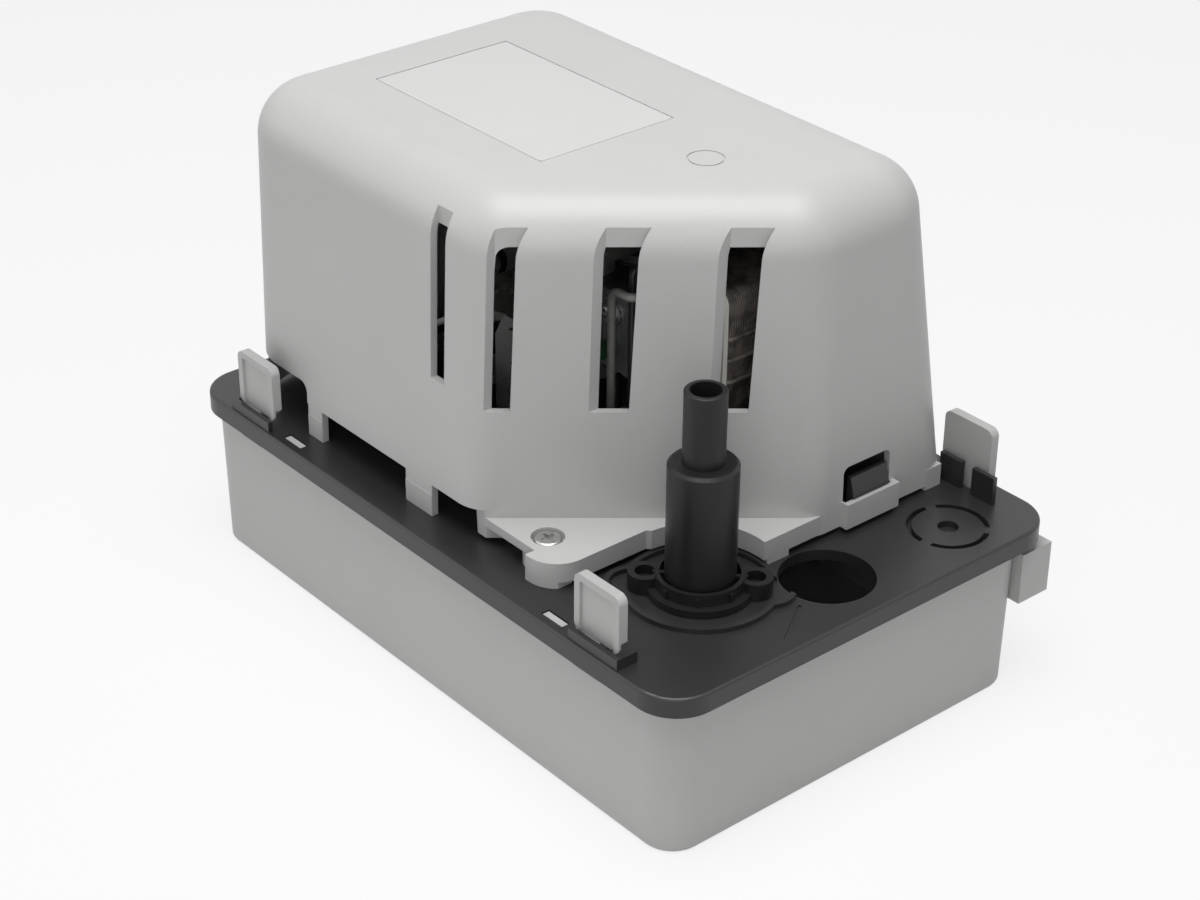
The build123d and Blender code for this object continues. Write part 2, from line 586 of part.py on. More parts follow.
with BuildPart() as lid:
    full = ((-LID_LENGTH / 2, LID_LENGTH / 2), (-LID_WIDTH / 2, LID_WIDTH / 2))
    with BuildSketch(Plane.XY.offset(LID_TOP)):
        add(rounded_outline(*full, LID_CORNER))
    extrude(amount=-SKIRT_HEIGHT)
    inner = [(a + SKIRT_WALL, b - SKIRT_WALL) for a, b in full]
    with BuildSketch(Plane.XY.offset(LID_UNDER)):
        add(rounded_outline(*inner, LID_CORNER - SKIRT_WALL))
    extrude(amount=-SKIRT_HEIGHT, mode=Mode.SUBTRACT)
    fillet(lid.faces().sort_by(Axis.Z)[-1].edges(), LID_EDGE)
    # openings through the plate
    with BuildSketch(Plane.XY.offset(LID_TOP)):
        with Locations(INLET_AT):
            Circle(INLET_RADIUS)
        with Locations(PUMP_AT):
            Circle(SEAL_RADIUS)
        with Locations(FLOAT_AT):
            Circle(BUSH_RADIUS + RUNNING_FIT)
        for name, (x, side) in CLIP_CENTRES.items():
            with Locations((stems[name], side * sum(clip_slot_y) / 2)):
                Rectangle(CLIP_STEM + 2 * LOOSE_FIT, clip_slot_y[0] - clip_slot_y[1])
        with Locations(*[(x, tank_front + TANK_WALL / 2) for x in tongues]):
            Rectangle(TONGUE_SLOT, TANK_WALL)
    extrude(amount=-LID_PLATE, mode=Mode.SUBTRACT)
    # knock-out disc: a groove with three bridges and a pilot hole
    with BuildSketch(Plane.XY.offset(LID_TOP)):
        with Locations(KNOCKOUT_AT):
            Circle(KNOCKOUT_RADIUS)
            Circle(KNOCKOUT_RADIUS - KNOCKOUT_GROOVE, mode=Mode.SUBTRACT)
            with PolarLocations(KNOCKOUT_RADIUS, KNOCKOUT_BRIDGES, start_angle=KNOCKOUT_TURN):
                Rectangle(4 * KNOCKOUT_GROOVE, KNOCKOUT_BRIDGE, mode=Mode.SUBTRACT)
            Circle(KNOCKOUT_PILOT)
    extrude(amount=-KNOCKOUT_DEPTH, mode=Mode.SUBTRACT)
    # relief line beside the inlet
    with BuildSketch(Plane.XY.offset(LID_TOP)):
        with Locations((relief_start + relief_end) / 2):
            SlotOverall((relief_end - relief_start).length, RELIEF_SECTION[0], rotation=relief_turn)
    extrude(amount=-RELIEF_SECTION[1], mode=Mode.SUBTRACT)
    # socket for the discharge valve under the plate, and its ring with two lobes on top
    with BuildSketch(Plane.XY.offset(LID_TOP)):
        with Locations(OUTLET_AT):
            Circle(RING_RADIUS)
            with Locations(*ring_lobes):
                Circle(LOBE_RADIUS)
            offset(amount=-RING_WALL, mode=Mode.SUBTRACT, kind=Kind.INTERSECTION)
        with Locations(INLET_AT):
            Circle(INLET_RADIUS + RING_CLEARANCE, mode=Mode.SUBTRACT)
    extrude(amount=RING_HEIGHT)
    with BuildSketch(Plane.XY.offset(LID_UNDER)):
        with Locations(OUTLET_AT):
            Circle(SOCKET_RADIUS)
    extrude(amount=SOCKET_BOTTOM - LID_UNDER)
    with BuildSketch(Plane.XY.offset(LID_TOP)):
        with Locations(OUTLET_AT):
            Circle(SOCKET_BORE)
    extrude(amount=SOCKET_BOTTOM - LID_TOP, mode=Mode.SUBTRACT)
    # posts for the motor and bosses for the pump's column and the switch bracket
    with BuildSketch(Plane.XY.offset(LID_TOP - OVERLAP)):
        with Locations(*posts):
            Circle(POST_RADIUS)
    extrude(amount=post_top - LID_TOP + OVERLAP, taper=POST_DRAFT)
    with BuildSketch(Plane.XY.offset(LID_TOP - OVERLAP)):
        with Locations(*column_screws):
            Circle(SCREW_BOSS)
    extrude(amount=SCREW_BOSS_HEIGHT + OVERLAP)
    with BuildSketch(Plane.XY.offset(post_top)):
        with Locations(*posts):
            Circle(MOTOR_SCREW_RADIUS + RUNNING_FIT)
    extrude(amount=-MOTOR_SCREW_GRIP - POST_BORE_SPARE, mode=Mode.SUBTRACT)
    with BuildSketch(Plane.XY.offset(LID_UNDER)):
        with Locations(*column_screws):
            Circle(COLUMN_SCREW[2] + RUNNING_FIT)
    extrude(amount=LID_PLATE + SCREW_BOSS_HEIGHT - SCREW_BOSS_ROOF, mode=Mode.SUBTRACT)
    with BuildSketch(Plane.XY.offset(LID_TOP)):
        with Locations(*bracket_screws):
            Circle(BRACKET_SCREW[2] + RUNNING_FIT)
        with Locations(COVER_SCREW_AT):
            Circle(COVER_SCREW[2] + RUNNING_FIT)
    extrude(amount=-LID_PLATE, mode=Mode.SUBTRACT)
    # collar round the shaft seal
    with BuildSketch(Plane.XY.offset(LID_TOP - OVERLAP)):
        with Locations(PUMP_AT):
            Circle(SEAL_RADIUS + SEAL_COLLAR)
            Circle(SEAL_RADIUS, mode=Mode.SUBTRACT)
    extrude(amount=SEAL_HEIGHT - LID_PLATE + OVERLAP)
    # L-shaped guards before the front clips
    with BuildSketch(Plane.XY.offset(LID_TOP - OVERLAP)):
        for x in front_clips:
            outward = 1 if x > 0 else -1
            end = x + outward * (CLIP_WIDTH / 2 + LOOSE_FIT + GUARD_WALL)
            start = x - outward * CLIP_WIDTH / 2
            with Locations(((start + end) / 2, -GUARD_LINE)):
                Rectangle(abs(end - start), GUARD_WALL)
            with Locations((end - outward * GUARD_WALL / 2, (GUARD_RETURN - GUARD_WALL) / 2 - GUARD_LINE)):
                Rectangle(GUARD_WALL, GUARD_RETURN)
    extrude(amount=GUARD_HEIGHT + OVERLAP)
    # pairs of posts before the rear clips
    with BuildSketch(Plane.XY.offset(LID_TOP - OVERLAP)):
        for x in rear_stems:
            for step in (-1, 1):
                with Locations((x + step * POST_STEP, POST_LINE)):
                    Rectangle(*POST_SIZE)
    extrude(amount=POST_HEIGHT + OVERLAP)
    # snap tongue that holds the cover's end wall
    with BuildSketch(Plane.XZ.offset(-LATCH_Y[0] - LATCH_SIDE_PLAY)):
        with BuildLine():
            top = LATCH_RIM + TONGUE_RISE
            barb = LATCH_RIM + LOOSE_FIT
            Polyline((tongue_x, LID_TOP - OVERLAP), (tongue_x + LATCH_TONGUE, LID_TOP - OVERLAP),
                     (tongue_x + LATCH_TONGUE, barb),
                     (tongue_x + LATCH_TONGUE + LATCH_BARB, barb),
                     (tongue_x + LATCH_TONGUE + LATCH_BARB, barb + LATCH_BARB_EDGE),
                     (tongue_x + TONGUE_TIP, top), (tongue_x, top), close=True)
        make_face()
    extrude(amount=-(LATCH_Y[1] - LATCH_Y[0] - 2 * LATCH_SIDE_PLAY))
finish(lid, "lid")


# ================================================================ cover
def cover_form(inset, bottom, top, edge_radius):
    """The cover's moulded shape, drawn in by inset: five drafted walls and a rounded roof."""
    outlines = []
    for level, x_span, y_span, cut, radii in ((bottom, BASE_X, BASE_Y, BASE_CUT, BASE_RADII),
                                             (top, ROOF_X, ROOF_Y, ROOF_CUT, ROOF_RADII)):
        corners = [(x_span[0], y_span[0]), (cut[0], y_span[0]), (x_span[1], cut[1]),
                   (x_span[1], y_span[1]), (x_span[0], y_span[1])]
        with BuildSketch(Plane.XY.offset(level)) as outline:
            with BuildLine():
                Polyline(*corners, close=True)
            make_face()
            offset(amount=-inset, kind=Kind.INTERSECTION)
            for corner, radius in zip(corners, radii):
                nearest = outline.vertices().sort_by_distance((*corner, 0))[0]
                fillet(nearest, radius - inset)
        outlines.append(outline.sketch)
    with BuildPart(mode=Mode.PRIVATE) as form:
        loft(outlines, ruled=True)
        fillet(form.faces().sort_by(Axis.Z)[-1].edges(), edge_radius)
    return form.part


def foot_box(x_span, y_span):
    """Centre and size in plan of a foot that fills x_span by y_span."""
    return (((x_span[0] + x_span[1]) / 2, (y_span[0] + y_span[1]) / 2),
            (x_span[1] - x_span[0], y_span[1] - y_span[0]))


with BuildSketch() as flange_outline:
    with BuildLine():
        Polyline((0, BASE_Y[0]), (FLANGE_SIDE_X, BASE_Y[0]), (FLANGE_SIDE_X, OUTLET_AT[1]),
                 (OUTLET_AT[0], FLANGE_SIDE_Y), (BASE_X[1], FLANGE_SIDE_Y), (BASE_X[1], FLANGE_INNER),
                 (0, FLANGE_INNER), close=True)
    make_face()
    with Locations(OUTLET_AT):
        Circle(FLANGE_GAP, mode=Mode.SUBTRACT)
    nearest = flange_outline.vertices().sort_by_distance((FLANGE_SIDE_X, BASE_Y[0], 0))[0]
    fillet(nearest, FLANGE_CORNER)
cut_x, cut_y = BASE_CUT
outer_side = Plane(origin=(cut_x, BASE_Y[0], 0), z_dir=(0, 0, 1),
                   x_dir=(BASE_X[1] - cut_x, cut_y - BASE_Y[0], 0))

outer_form = cover_form(0, COVER_BOTTOM, COVER_TOP, COVER_EDGE)
inner_form = cover_form(COVER_WALL, COVER_BOTTOM, COVER_TOP - COVER_ROOF, COVER_EDGE - COVER_WALL)

with BuildPart() as cover:
    # flange on the slanted side: a plate with a skirt round it
    with BuildSketch(Plane.XY.offset(FLANGE_BOTTOM)):
        add(flange_outline.sketch)
        with Locations(outer_side * Pos(0, COVER_WALL / 2)):
            Rectangle(2 * LID_LENGTH, LID_LENGTH, align=(Align.CENTER, Align.MIN), mode=Mode.SUBTRACT)
    extrude(amount=FLANGE_TOP - FLANGE_BOTTOM)
    with BuildSketch(Plane.XY.offset(FLANGE_BOTTOM)):
        add(flange_outline.sketch)
        offset(amount=-COVER_WALL, kind=Kind.INTERSECTION)
    extrude(amount=FLANGE_TOP - FLANGE_PLATE - FLANGE_BOTTOM, mode=Mode.SUBTRACT)
    add(outer_form)
    # snap pocket on the end wall
    pocket_centre = ((BASE_X[1] + LATCH_FRONT) / 2 - LATCH_ROOT, sum(LATCH_Y) / 2)
    with BuildSketch(Plane.XY.offset(COVER_BOTTOM)):
        with Locations(pocket_centre):
            Rectangle(2 * (LATCH_FRONT - pocket_centre[0]), LATCH_Y[1] - LATCH_Y[0])
    extrude(amount=LATCH_RIM - COVER_BOTTOM)
    # feet down to the lid
    with BuildSketch(Plane.XY.offset(LID_TOP)):
        for centre, size in ([foot_box(span, (BASE_Y[0], BASE_Y[0] + COVER_WALL)) for span in FRONT_FEET]
                             + [foot_box((BASE_X[1] - COVER_WALL, BASE_X[1]), span) for span in END_FEET]
                             + [foot_box((BASE_X[0], BASE_X[0] + COVER_WALL), span) for span in FAR_FEET]
                             + [foot_box(span, (BASE_Y[1] - COVER_WALL, BASE_Y[1])) for span in REAR_FEET]):
            with Locations(centre):
                Rectangle(*size)
        with Locations(COVER_SCREW_AT):
            Circle(COVER_SCREW_RECESS[0] + COVER_WALL)
    extrude(amount=FLANGE_TOP - COVER_WALL / 2 - LID_TOP)
    with BuildSketch(Plane.XY.offset(LID_TOP)):
        add(flange_outline.sketch)
        offset(amount=-COVER_WALL, kind=Kind.INTERSECTION, mode=Mode.SUBTRACT)
        with Locations((sum(FLANGE_FOOT) / 2, BASE_Y[0] + FLANGE_FOOT_DEPTH / 2)):
            Rectangle(FLANGE_FOOT[1] - FLANGE_FOOT[0], FLANGE_FOOT_DEPTH, mode=Mode.INTERSECT)
    extrude(amount=FLANGE_BOTTOM - LID_TOP + OVERLAP)
    add(inner_form, mode=Mode.SUBTRACT)
    # front wall: gaps between the feet, and arches beside the clips at the far end
    feet_x = [FLANGE_FOOT[0], *[x for span in reversed(FRONT_FEET) for x in reversed(span)]]
    with BuildSketch(Plane.XZ.offset(-BASE_Y[0] + OVERCUT)):
        for right, left in zip(feet_x[0::2], feet_x[1::2] + [ARCH_SPAN[1]]):
            with Locations(((left + right) / 2, FRONT_GAP_TOP)):
                Rectangle(right - left, 2 * (FRONT_GAP_TOP - LID_TOP + OVERCUT))
    extrude(amount=-COVER_WALL - 2 * OVERCUT, mode=Mode.SUBTRACT)
    for wall_y, into in ((BASE_Y[0], 1), (BASE_Y[1], -1)):
        with BuildSketch(Plane.XZ.offset(-wall_y + into * OVERCUT)) as arch:
            with Locations((sum(ARCH_SPAN) / 2, ARCH_TOP)):
                Rectangle(ARCH_SPAN[1] - ARCH_SPAN[0], 2 * (ARCH_TOP - LID_TOP + OVERCUT),
                          align=(Align.CENTER, Align.MAX))
            fillet(arch.vertices().group_by(Axis.Y)[-1], ARCH_CORNER)
        extrude(amount=-into * ARCH_DEPTH, mode=Mode.SUBTRACT)
    # snap window, and the pocket behind its rim
    window = (LATCH_Y[0] + LATCH_CHEEK, LATCH_Y[1] - LATCH_WALL)
    pocket_x = (BASE_X[1] - COVER_WALL - OVERCUT, LATCH_FRONT - LATCH_WALL)
    with BuildSketch(Plane.YZ.offset(pocket_x[0])) as opening:
        with Locations((sum(window) / 2, (LATCH_RIM + LATCH_WINDOW_TOP) / 2)):
            Rectangle(window[1] - window[0], LATCH_WINDOW_TOP - LATCH_RIM)
        fillet(opening.vertices().group_by(Axis.Y)[-1], LATCH_CORNER)
    extrude(amount=LATCH_FRONT, mode=Mode.SUBTRACT)
    with BuildSketch(Plane.XY.offset(LATCH_RIM)):
        with Locations((sum(pocket_x) / 2, sum(window) / 2)):
            Rectangle(pocket_x[1] - pocket_x[0], window[1] - window[0])
    extrude(amount=-(LATCH_RIM - LID_TOP), mode=Mode.SUBTRACT)
    # vents: each is cut between two planes across X, out of a band along the walls
    with BuildPart(mode=Mode.PRIVATE) as vents:
        for left, width, sill in zip(VENT_LEFT, VENT_WIDTH, VENT_SILLS):
            with BuildSketch(Plane.XZ.offset(-cut_y - VENT_OVERCUT[0])):
                with BuildLine():
                    Polyline((left, sill), (left + width, sill), (left + width + VENT_FLARE, COVER_TOP),
                             (left + VENT_FLARE / 2, COVER_TOP), close=True)
                make_face()
            extrude(amount=cut_y - BASE_Y[0] + sum(VENT_OVERCUT))
        with BuildSketch(Plane.XY.offset(COVER_BOTTOM)):
            with BuildLine():
                Polyline((ROOF_X[0], ROOF_Y[0]), (ROOF_CUT[0], ROOF_Y[0]), (ROOF_X[1], ROOF_CUT[1]),
                         (ROOF_X[1], ROOF_Y[1]), (ROOF_X[0], ROOF_Y[1]), close=True)
            make_face()
            offset(amount=-VENT_DEPTH, kind=Kind.INTERSECTION)
        extrude(amount=COVER_TOP, mode=Mode.SUBTRACT)
    add(vents.part, mode=Mode.SUBTRACT)
    # seat for the blank label and the ring left by the mould's gate
    with BuildSketch(Plane.XY.offset(COVER_TOP)):
        with Locations(LABEL_CENTRE):
            Rectangle(*LABEL_SIZE)
        with Locations(GATE_CENTRE):
            Circle(GATE_RADIUS)
            Circle(GATE_RADIUS - GATE_LINE, mode=Mode.SUBTRACT)
    extrude(amount=-LABEL_DEPTH, mode=Mode.SUBTRACT)
    # holes for the screw and the cord bush
    with BuildSketch(Plane.XY.offset(FLANGE_TOP)):
        with Locations(COVER_SCREW_AT):
            Circle(COVER_SCREW_RECESS[0])
    extrude(amount=-COVER_SCREW_RECESS[1], mode=Mode.SUBTRACT)
    with BuildSketch(Plane.XY.offset(FLANGE_TOP)):
        with Locations(COVER_SCREW_AT):
            Circle(COVER_SCREW[2] + LOOSE_FIT)
    extrude(amount=LID_TOP - FLANGE_TOP, mode=Mode.SUBTRACT)
    with BuildSketch(Plane.YZ.offset(BASE_X[0] - OVERCUT)):
        with Locations(GLAND_AT):
            Circle(GLAND_NECK + RUNNING_FIT)
    extrude(amount=COVER_WALL + 3 * OVERCUT, mode=Mode.SUBTRACT)
finish(cover, "cover")

with BuildPart() as blank_label:
    with BuildSketch(Plane.XY.offset(COVER_TOP - LABEL_DEPTH)):
        with Locations(LABEL_CENTRE):
            RectangleRounded(LABEL_SIZE[0] - 2 * LOOSE_FIT, LABEL_SIZE[1] - 2 * LOOSE_FIT, LABEL_CORNER)
    extrude(amount=LABEL_FILM)
finish(blank_label, "blank_label")

with BuildPart() as cover_screw:
    with Locations((*COVER_SCREW_AT, FLANGE_TOP - COVER_SCREW_RECESS[1])):
        add(screw(*COVER_SCREW))
finish(cover_screw, "cover_screw")

with BuildPart() as cord_bush:
    with BuildSketch(Plane.YZ.offset(BASE_X[0] - GLAND_PROUD)):
        with Locations(GLAND_AT):
            Circle(GLAND_FLANGE)
    extrude(amount=GLAND_PLATE)
    with BuildSketch(Plane.YZ.offset(BASE_X[0] - OVERLAP)):
        with Locations(GLAND_AT):
            Circle(GLAND_NECK)
    extrude(amount=COVER_WALL + GLAND_REACH)
    with BuildSketch(Plane.YZ.offset(BASE_X[0] + COVER_WALL + GLAND_BARB[1])):
        with Locations(GLAND_AT):
            Circle(GLAND_NECK + GLAND_BARB[0])
    extrude(amount=GLAND_BARB[2])
    with BuildSketch(Plane.YZ.offset(BASE_X[0] - GLAND_PROUD)):
        with Locations(GLAND_AT):
            Circle(GLAND_BORE)
    extrude(amount=GLAND_PROUD + COVER_WALL + GLAND_REACH + OVERCUT, mode=Mode.SUBTRACT)
finish(cord_bush, "cord_bush")


# ================================================================ discharge valve
out = Plane(origin=(*OUTLET_AT, 0))
collar_bottom = LID_TOP + SEAT_GAP

with BuildPart() as valve_body:
    with BuildSketch(out.offset(collar_bottom)):
        Circle(COLLAR_RADIUS)
    extrude(amount=COLLAR_PLATE)
    with BuildSketch(out.offset(collar_bottom)):
        Circle(LIP_RADIUS)
        Circle(LIP_RADIUS - LIP_WALL, mode=Mode.SUBTRACT)
    extrude(amount=LIP_TOP - collar_bottom)
    with BuildSketch(out.offset(collar_bottom)):
        with PolarLocations((SLEEVE_RADIUS + LIP_RADIUS) / 2, SPOKES):
            Rectangle(LIP_RADIUS - SLEEVE_RADIUS + 2 * SPOKE_ROOT, SPOKE_WALL)
    extrude(amount=LIP_TOP - collar_bottom - SPOKE_DROP)
    with BuildSketch(out.offset(collar_bottom)):
        with PolarLocations(EAR_REACH / 2, 2, start_angle=EAR_ANGLE):
            Rectangle(EAR_REACH, EAR_NECK)
        with PolarLocations(EAR_REACH, 2, start_angle=EAR_ANGLE):
            Circle(EAR_RADIUS)
    extrude(amount=EAR_HEIGHT)
    with BuildSketch(out.offset(collar_bottom + COLLAR_PLATE)):
        with PolarLocations(EAR_REACH, 2, start_angle=EAR_ANGLE):
            Circle(EAR_HOLE)
        Circle(LIP_RADIUS - LIP_WALL)
        Circle(SLEEVE_RADIUS, mode=Mode.SUBTRACT)
        with PolarLocations((SLEEVE_RADIUS + LIP_RADIUS) / 2, SPOKES):
            Rectangle(LIP_RADIUS - SLEEVE_RADIUS + 2 * SPOKE_ROOT, SPOKE_WALL, mode=Mode.SUBTRACT)
    extrude(amount=EAR_HEIGHT, mode=Mode.SUBTRACT)
    with BuildSketch(out.offset(collar_bottom)):
        Circle(SLEEVE_RADIUS)
    extrude(amount=SLEEVE_TOP - collar_bottom)
    chamfer(valve_body.faces().sort_by(Axis.Z)[-1].edges(), SLEEVE_CHAMFER)
    with BuildSketch(out.offset(collar_bottom)):
        Circle(SOCKET_BORE - RUNNING_FIT - SPIGOT_PLAY)
    extrude(amount=SPIGOT_BOTTOM - collar_bottom)
    # bores: tube socket, flow bore, spring chamber and seat
    for level, depth, radius in ((SLEEVE_TOP, SLEEVE_TOP - SLEEVE_BORE_BOTTOM, SLEEVE_BORE),
                                 (SLEEVE_BORE_BOTTOM + OVERCUT, SLEEVE_BORE_BOTTOM + OVERCUT - CHAMBER_TOP,
                                  FLOW_BORE),
                                 (CHAMBER_TOP, CHAMBER_TOP - SPIGOT_BOTTOM - SEAT_THICKNESS, CHAMBER_RADIUS),
                                 (SPIGOT_BOTTOM + SEAT_THICKNESS, SEAT_THICKNESS, SEAT_RADIUS)):
        with BuildSketch(out.offset(level)):
            Circle(radius)
        extrude(amount=-depth, mode=Mode.SUBTRACT)
    for level in ORING_LEVELS:
        with BuildSketch(out.offset(level - ORING_GROOVE / 2)):
            Circle(SOCKET_BORE)
            Circle(SOCKET_BORE - RUNNING_FIT - ORING_WIRE - SEAT_GAP, mode=Mode.SUBTRACT)
        extrude(amount=ORING_GROOVE, mode=Mode.SUBTRACT)
finish(valve_body, "valve_body")

with BuildPart() as valve_orings:
    for level in ORING_LEVELS:
        with BuildSketch(Plane(origin=(*OUTLET_AT, level), x_dir=(1, 0, 0), z_dir=(0, -1, 0))):
            with Locations((SOCKET_BORE - RUNNING_FIT - ORING_WIRE / 2, 0)):
                Circle(ORING_WIRE / 2)
        revolve(axis=Axis((*OUTLET_AT, level), (0, 0, 1)))
finish(valve_orings, "valve_orings")

with BuildPart() as outlet_tube:
    with BuildSketch(out.offset(TUBE_TOP)):
        Circle(TUBE_RADIUS)
    extrude(amount=-(TUBE_TOP - SLEEVE_TOP))
    with BuildSketch(out.offset(SLEEVE_TOP)):
        Circle(SLEEVE_BORE - RUNNING_FIT)
    extrude(amount=-PLUG_LENGTH)
    fillet(outlet_tube.faces().sort_by(Axis.Z)[-1].edges(), TUBE_EDGE)
    with BuildSketch(out.offset(TUBE_TOP)):
        Circle(TUBE_BORE)
    extrude(amount=-(TUBE_TOP - SLEEVE_TOP + PLUG_LENGTH), mode=Mode.SUBTRACT)
finish(outlet_tube, "outlet_tube")

poppet_seat = SPIGOT_BOTTOM + SEAT_THICKNESS + SEAT_GAP
with BuildPart() as valve_poppet:
    with BuildSketch(out.offset(poppet_seat)):
        Circle(POPPET_RADIUS)
    extrude(amount=POPPET_DISC)
    with BuildSketch(out.offset(poppet_seat)):
        Circle(POPPET_STEM)
    extrude(amount=CHAMBER_TOP - POPPET_LIFT - poppet_seat)
    fillet(valve_poppet.faces().sort_by(Axis.Z)[-1].edges(), POPPET_EDGE)
finish(valve_poppet, "valve_poppet")

spring_bottom = poppet_seat + POPPET_DISC
with BuildPart() as valve_spring:
    spring_height = CHAMBER_TOP - spring_bottom - 2 * SPRING_WIRE
    with BuildLine(Plane(origin=(*OUTLET_AT, spring_bottom + SPRING_WIRE))):
        coil = Helix(pitch=spring_height / SPRING_TURNS, height=spring_height,
                     radius=POPPET_RADIUS - SPRING_INSET)
    with BuildSketch(Plane(origin=coil @ 0, z_dir=coil % 0)):
        RegularPolygon(SPRING_WIRE, 6)
    sweep(is_frenet=True)
finish(valve_spring, "valve_spring")


# ================================================================ pump
impeller_axis = Plane(origin=(*PUMP_AT, 0))
reach_x, reach_y = OUTLET_AT[0] - pump_x, OUTLET_AT[1] - pump_y
duct_offset = IMPELLER_CHAMBER - DUCT_BORE - DUCT_INSET
duct_level = VOLUTE_BOTTOM + DUCT_RADIUS + DUCT_RISE
duct_length = sqrt(hypot(reach_x, reach_y) ** 2 - duct_offset ** 2)
duct_angle = atan2(reach_y, reach_x) + asin(duct_offset / hypot(reach_x, reach_y))
duct_start = (pump_x + duct_offset * sin(duct_angle), pump_y - duct_offset * cos(duct_angle))
duct = Plane(origin=(*duct_start, duct_level), x_dir=(0, 0, 1),
             z_dir=(cos(duct_angle), sin(duct_angle), 0))
riser_bottom = duct_level - DUCT_RADIUS - RISER_FLOOR
riser_top = SPIGOT_BOTTOM - RISER_DROP
cover_plate_screws = [(pump_x + COVER_PLATE_CIRCLE * cos(pi * (i + 0.5) / 2),
                       pump_y + COVER_PLATE_CIRCLE * sin(pi * (i + 0.5) / 2))
                      for i in range(COVER_PLATE_SCREWS)]

with BuildPart() as pump_housing:
    with BuildSketch(impeller_axis.offset(VOLUTE_BOTTOM)):
        Circle(VOLUTE_RADIUS)
        with Locations(*[(x - pump_x, y - pump_y) for x, y in cover_plate_screws]):
            Circle(PLATE_EAR)
    extrude(amount=VOLUTE_TOP - VOLUTE_BOTTOM)
    with BuildSketch(impeller_axis.offset(VOLUTE_TOP)):
        Circle(COLUMN_RADIUS)
    extrude(amount=LID_UNDER - VOLUTE_TOP)
    with BuildSketch(impeller_axis.offset(LID_UNDER)):
        Circle(COLUMN_FLANGE)
    extrude(amount=-COLUMN_FLANGE_PLATE)
    with BuildSketch(duct):
        Circle(DUCT_RADIUS)
    extrude(amount=duct_length)
    with BuildSketch(out.offset(riser_bottom)):
        Circle(SOCKET_BORE - RUNNING_FIT)
    extrude(amount=riser_top - riser_bottom)
    # waterways and the bore round the shaft, with windows that let water drain back
    with BuildSketch(impeller_axis.offset(VOLUTE_BOTTOM)):
        Circle(IMPELLER_CHAMBER)
    extrude(amount=CHAMBER_ROOF - VOLUTE_BOTTOM, mode=Mode.SUBTRACT)
    with BuildSketch(duct):
        Circle(DUCT_BORE)
    extrude(amount=duct_length, mode=Mode.SUBTRACT)
    with BuildSketch(out.offset(duct_level - DUCT_BORE - RISER_SUMP)):
        Circle(RISER_BORE)
    extrude(amount=riser_top, mode=Mode.SUBTRACT)
    with BuildSketch(impeller_axis.offset(VOLUTE_TOP + COLUMN_FLOOR)):
        Circle(COLUMN_BORE)
    extrude(amount=LID_TOP, mode=Mode.SUBTRACT)
    with BuildSketch(impeller_axis.offset(CHAMBER_ROOF)):
        Circle(SHAFT_RADIUS + SHAFT_PLAY)
    extrude(amount=LID_TOP, mode=Mode.SUBTRACT)
    with BuildSketch(Plane.XZ.offset(-pump_y)):
        with Locations((pump_x, (VOLUTE_TOP + LID_UNDER) / 2)):
            RectangleRounded(*WINDOW_SIZE, WINDOW_CORNER)
    extrude(amount=COLUMN_RADIUS + OVERCUT, both=True, mode=Mode.SUBTRACT)
    with BuildSketch(Plane.XY.offset(LID_UNDER)):
        with Locations(*column_screws):
            Circle(COLUMN_SCREW[2] + RUNNING_FIT)
    extrude(amount=-COLUMN_FLANGE_PLATE, mode=Mode.SUBTRACT)
    with BuildSketch(Plane.XY.offset(VOLUTE_BOTTOM)):
        with Locations(*cover_plate_screws):
            Circle(PLATE_SCREW[2] + RUNNING_FIT)
    extrude(amount=PLATE_SCREW[3] - OVERLAP, mode=Mode.SUBTRACT)
finish(pump_housing, "pump_housing")

plate_bottom = VOLUTE_BOTTOM - COVER_PLATE
with BuildPart() as suction_plate:
    with BuildSketch(impeller_axis.offset(plate_bottom)):
        Circle(VOLUTE_RADIUS)
        with Locations(*[(x - pump_x, y - pump_y) for x, y in cover_plate_screws]):
            Circle(PLATE_EAR)
    extrude(amount=VOLUTE_BOTTOM - plate_bottom)
    with BuildSketch(impeller_axis.offset(TANK_FLOOR + SEAT_GAP)):
        with PolarLocations(EYE_RADIUS + 2 * STRAINER_FOOT[1], STRAINER_FEET):
            Rectangle(*STRAINER_FOOT)
    extrude(amount=plate_bottom - TANK_FLOOR - SEAT_GAP)
    with BuildSketch(impeller_axis.offset(plate_bottom)):
        Circle(EYE_RADIUS)
    extrude(amount=VOLUTE_BOTTOM, mode=Mode.SUBTRACT)
    with BuildSketch(Plane.XY.offset(plate_bottom)):
        with Locations(*cover_plate_screws):
            Circle(PLATE_SCREW[2] + RUNNING_FIT)
    extrude(amount=VOLUTE_BOTTOM, mode=Mode.SUBTRACT)
finish(suction_plate, "suction_plate")

with BuildPart() as suction_plate_screws:
    with Locations(*[Location((x, y, plate_bottom), (180, 0, 0)) for x, y in cover_plate_screws]):
        add(screw(*PLATE_SCREW))
finish(suction_plate_screws, "suction_plate_screws")

with BuildPart() as column_fixings:
    under_flange = LID_UNDER - COLUMN_FLANGE_PLATE
    with Locations(*[Location((x, y, under_flange), (180, 0, 0)) for x, y in column_screws]):
        add(screw(*COLUMN_SCREW))
finish(column_fixings, "column_fixings")

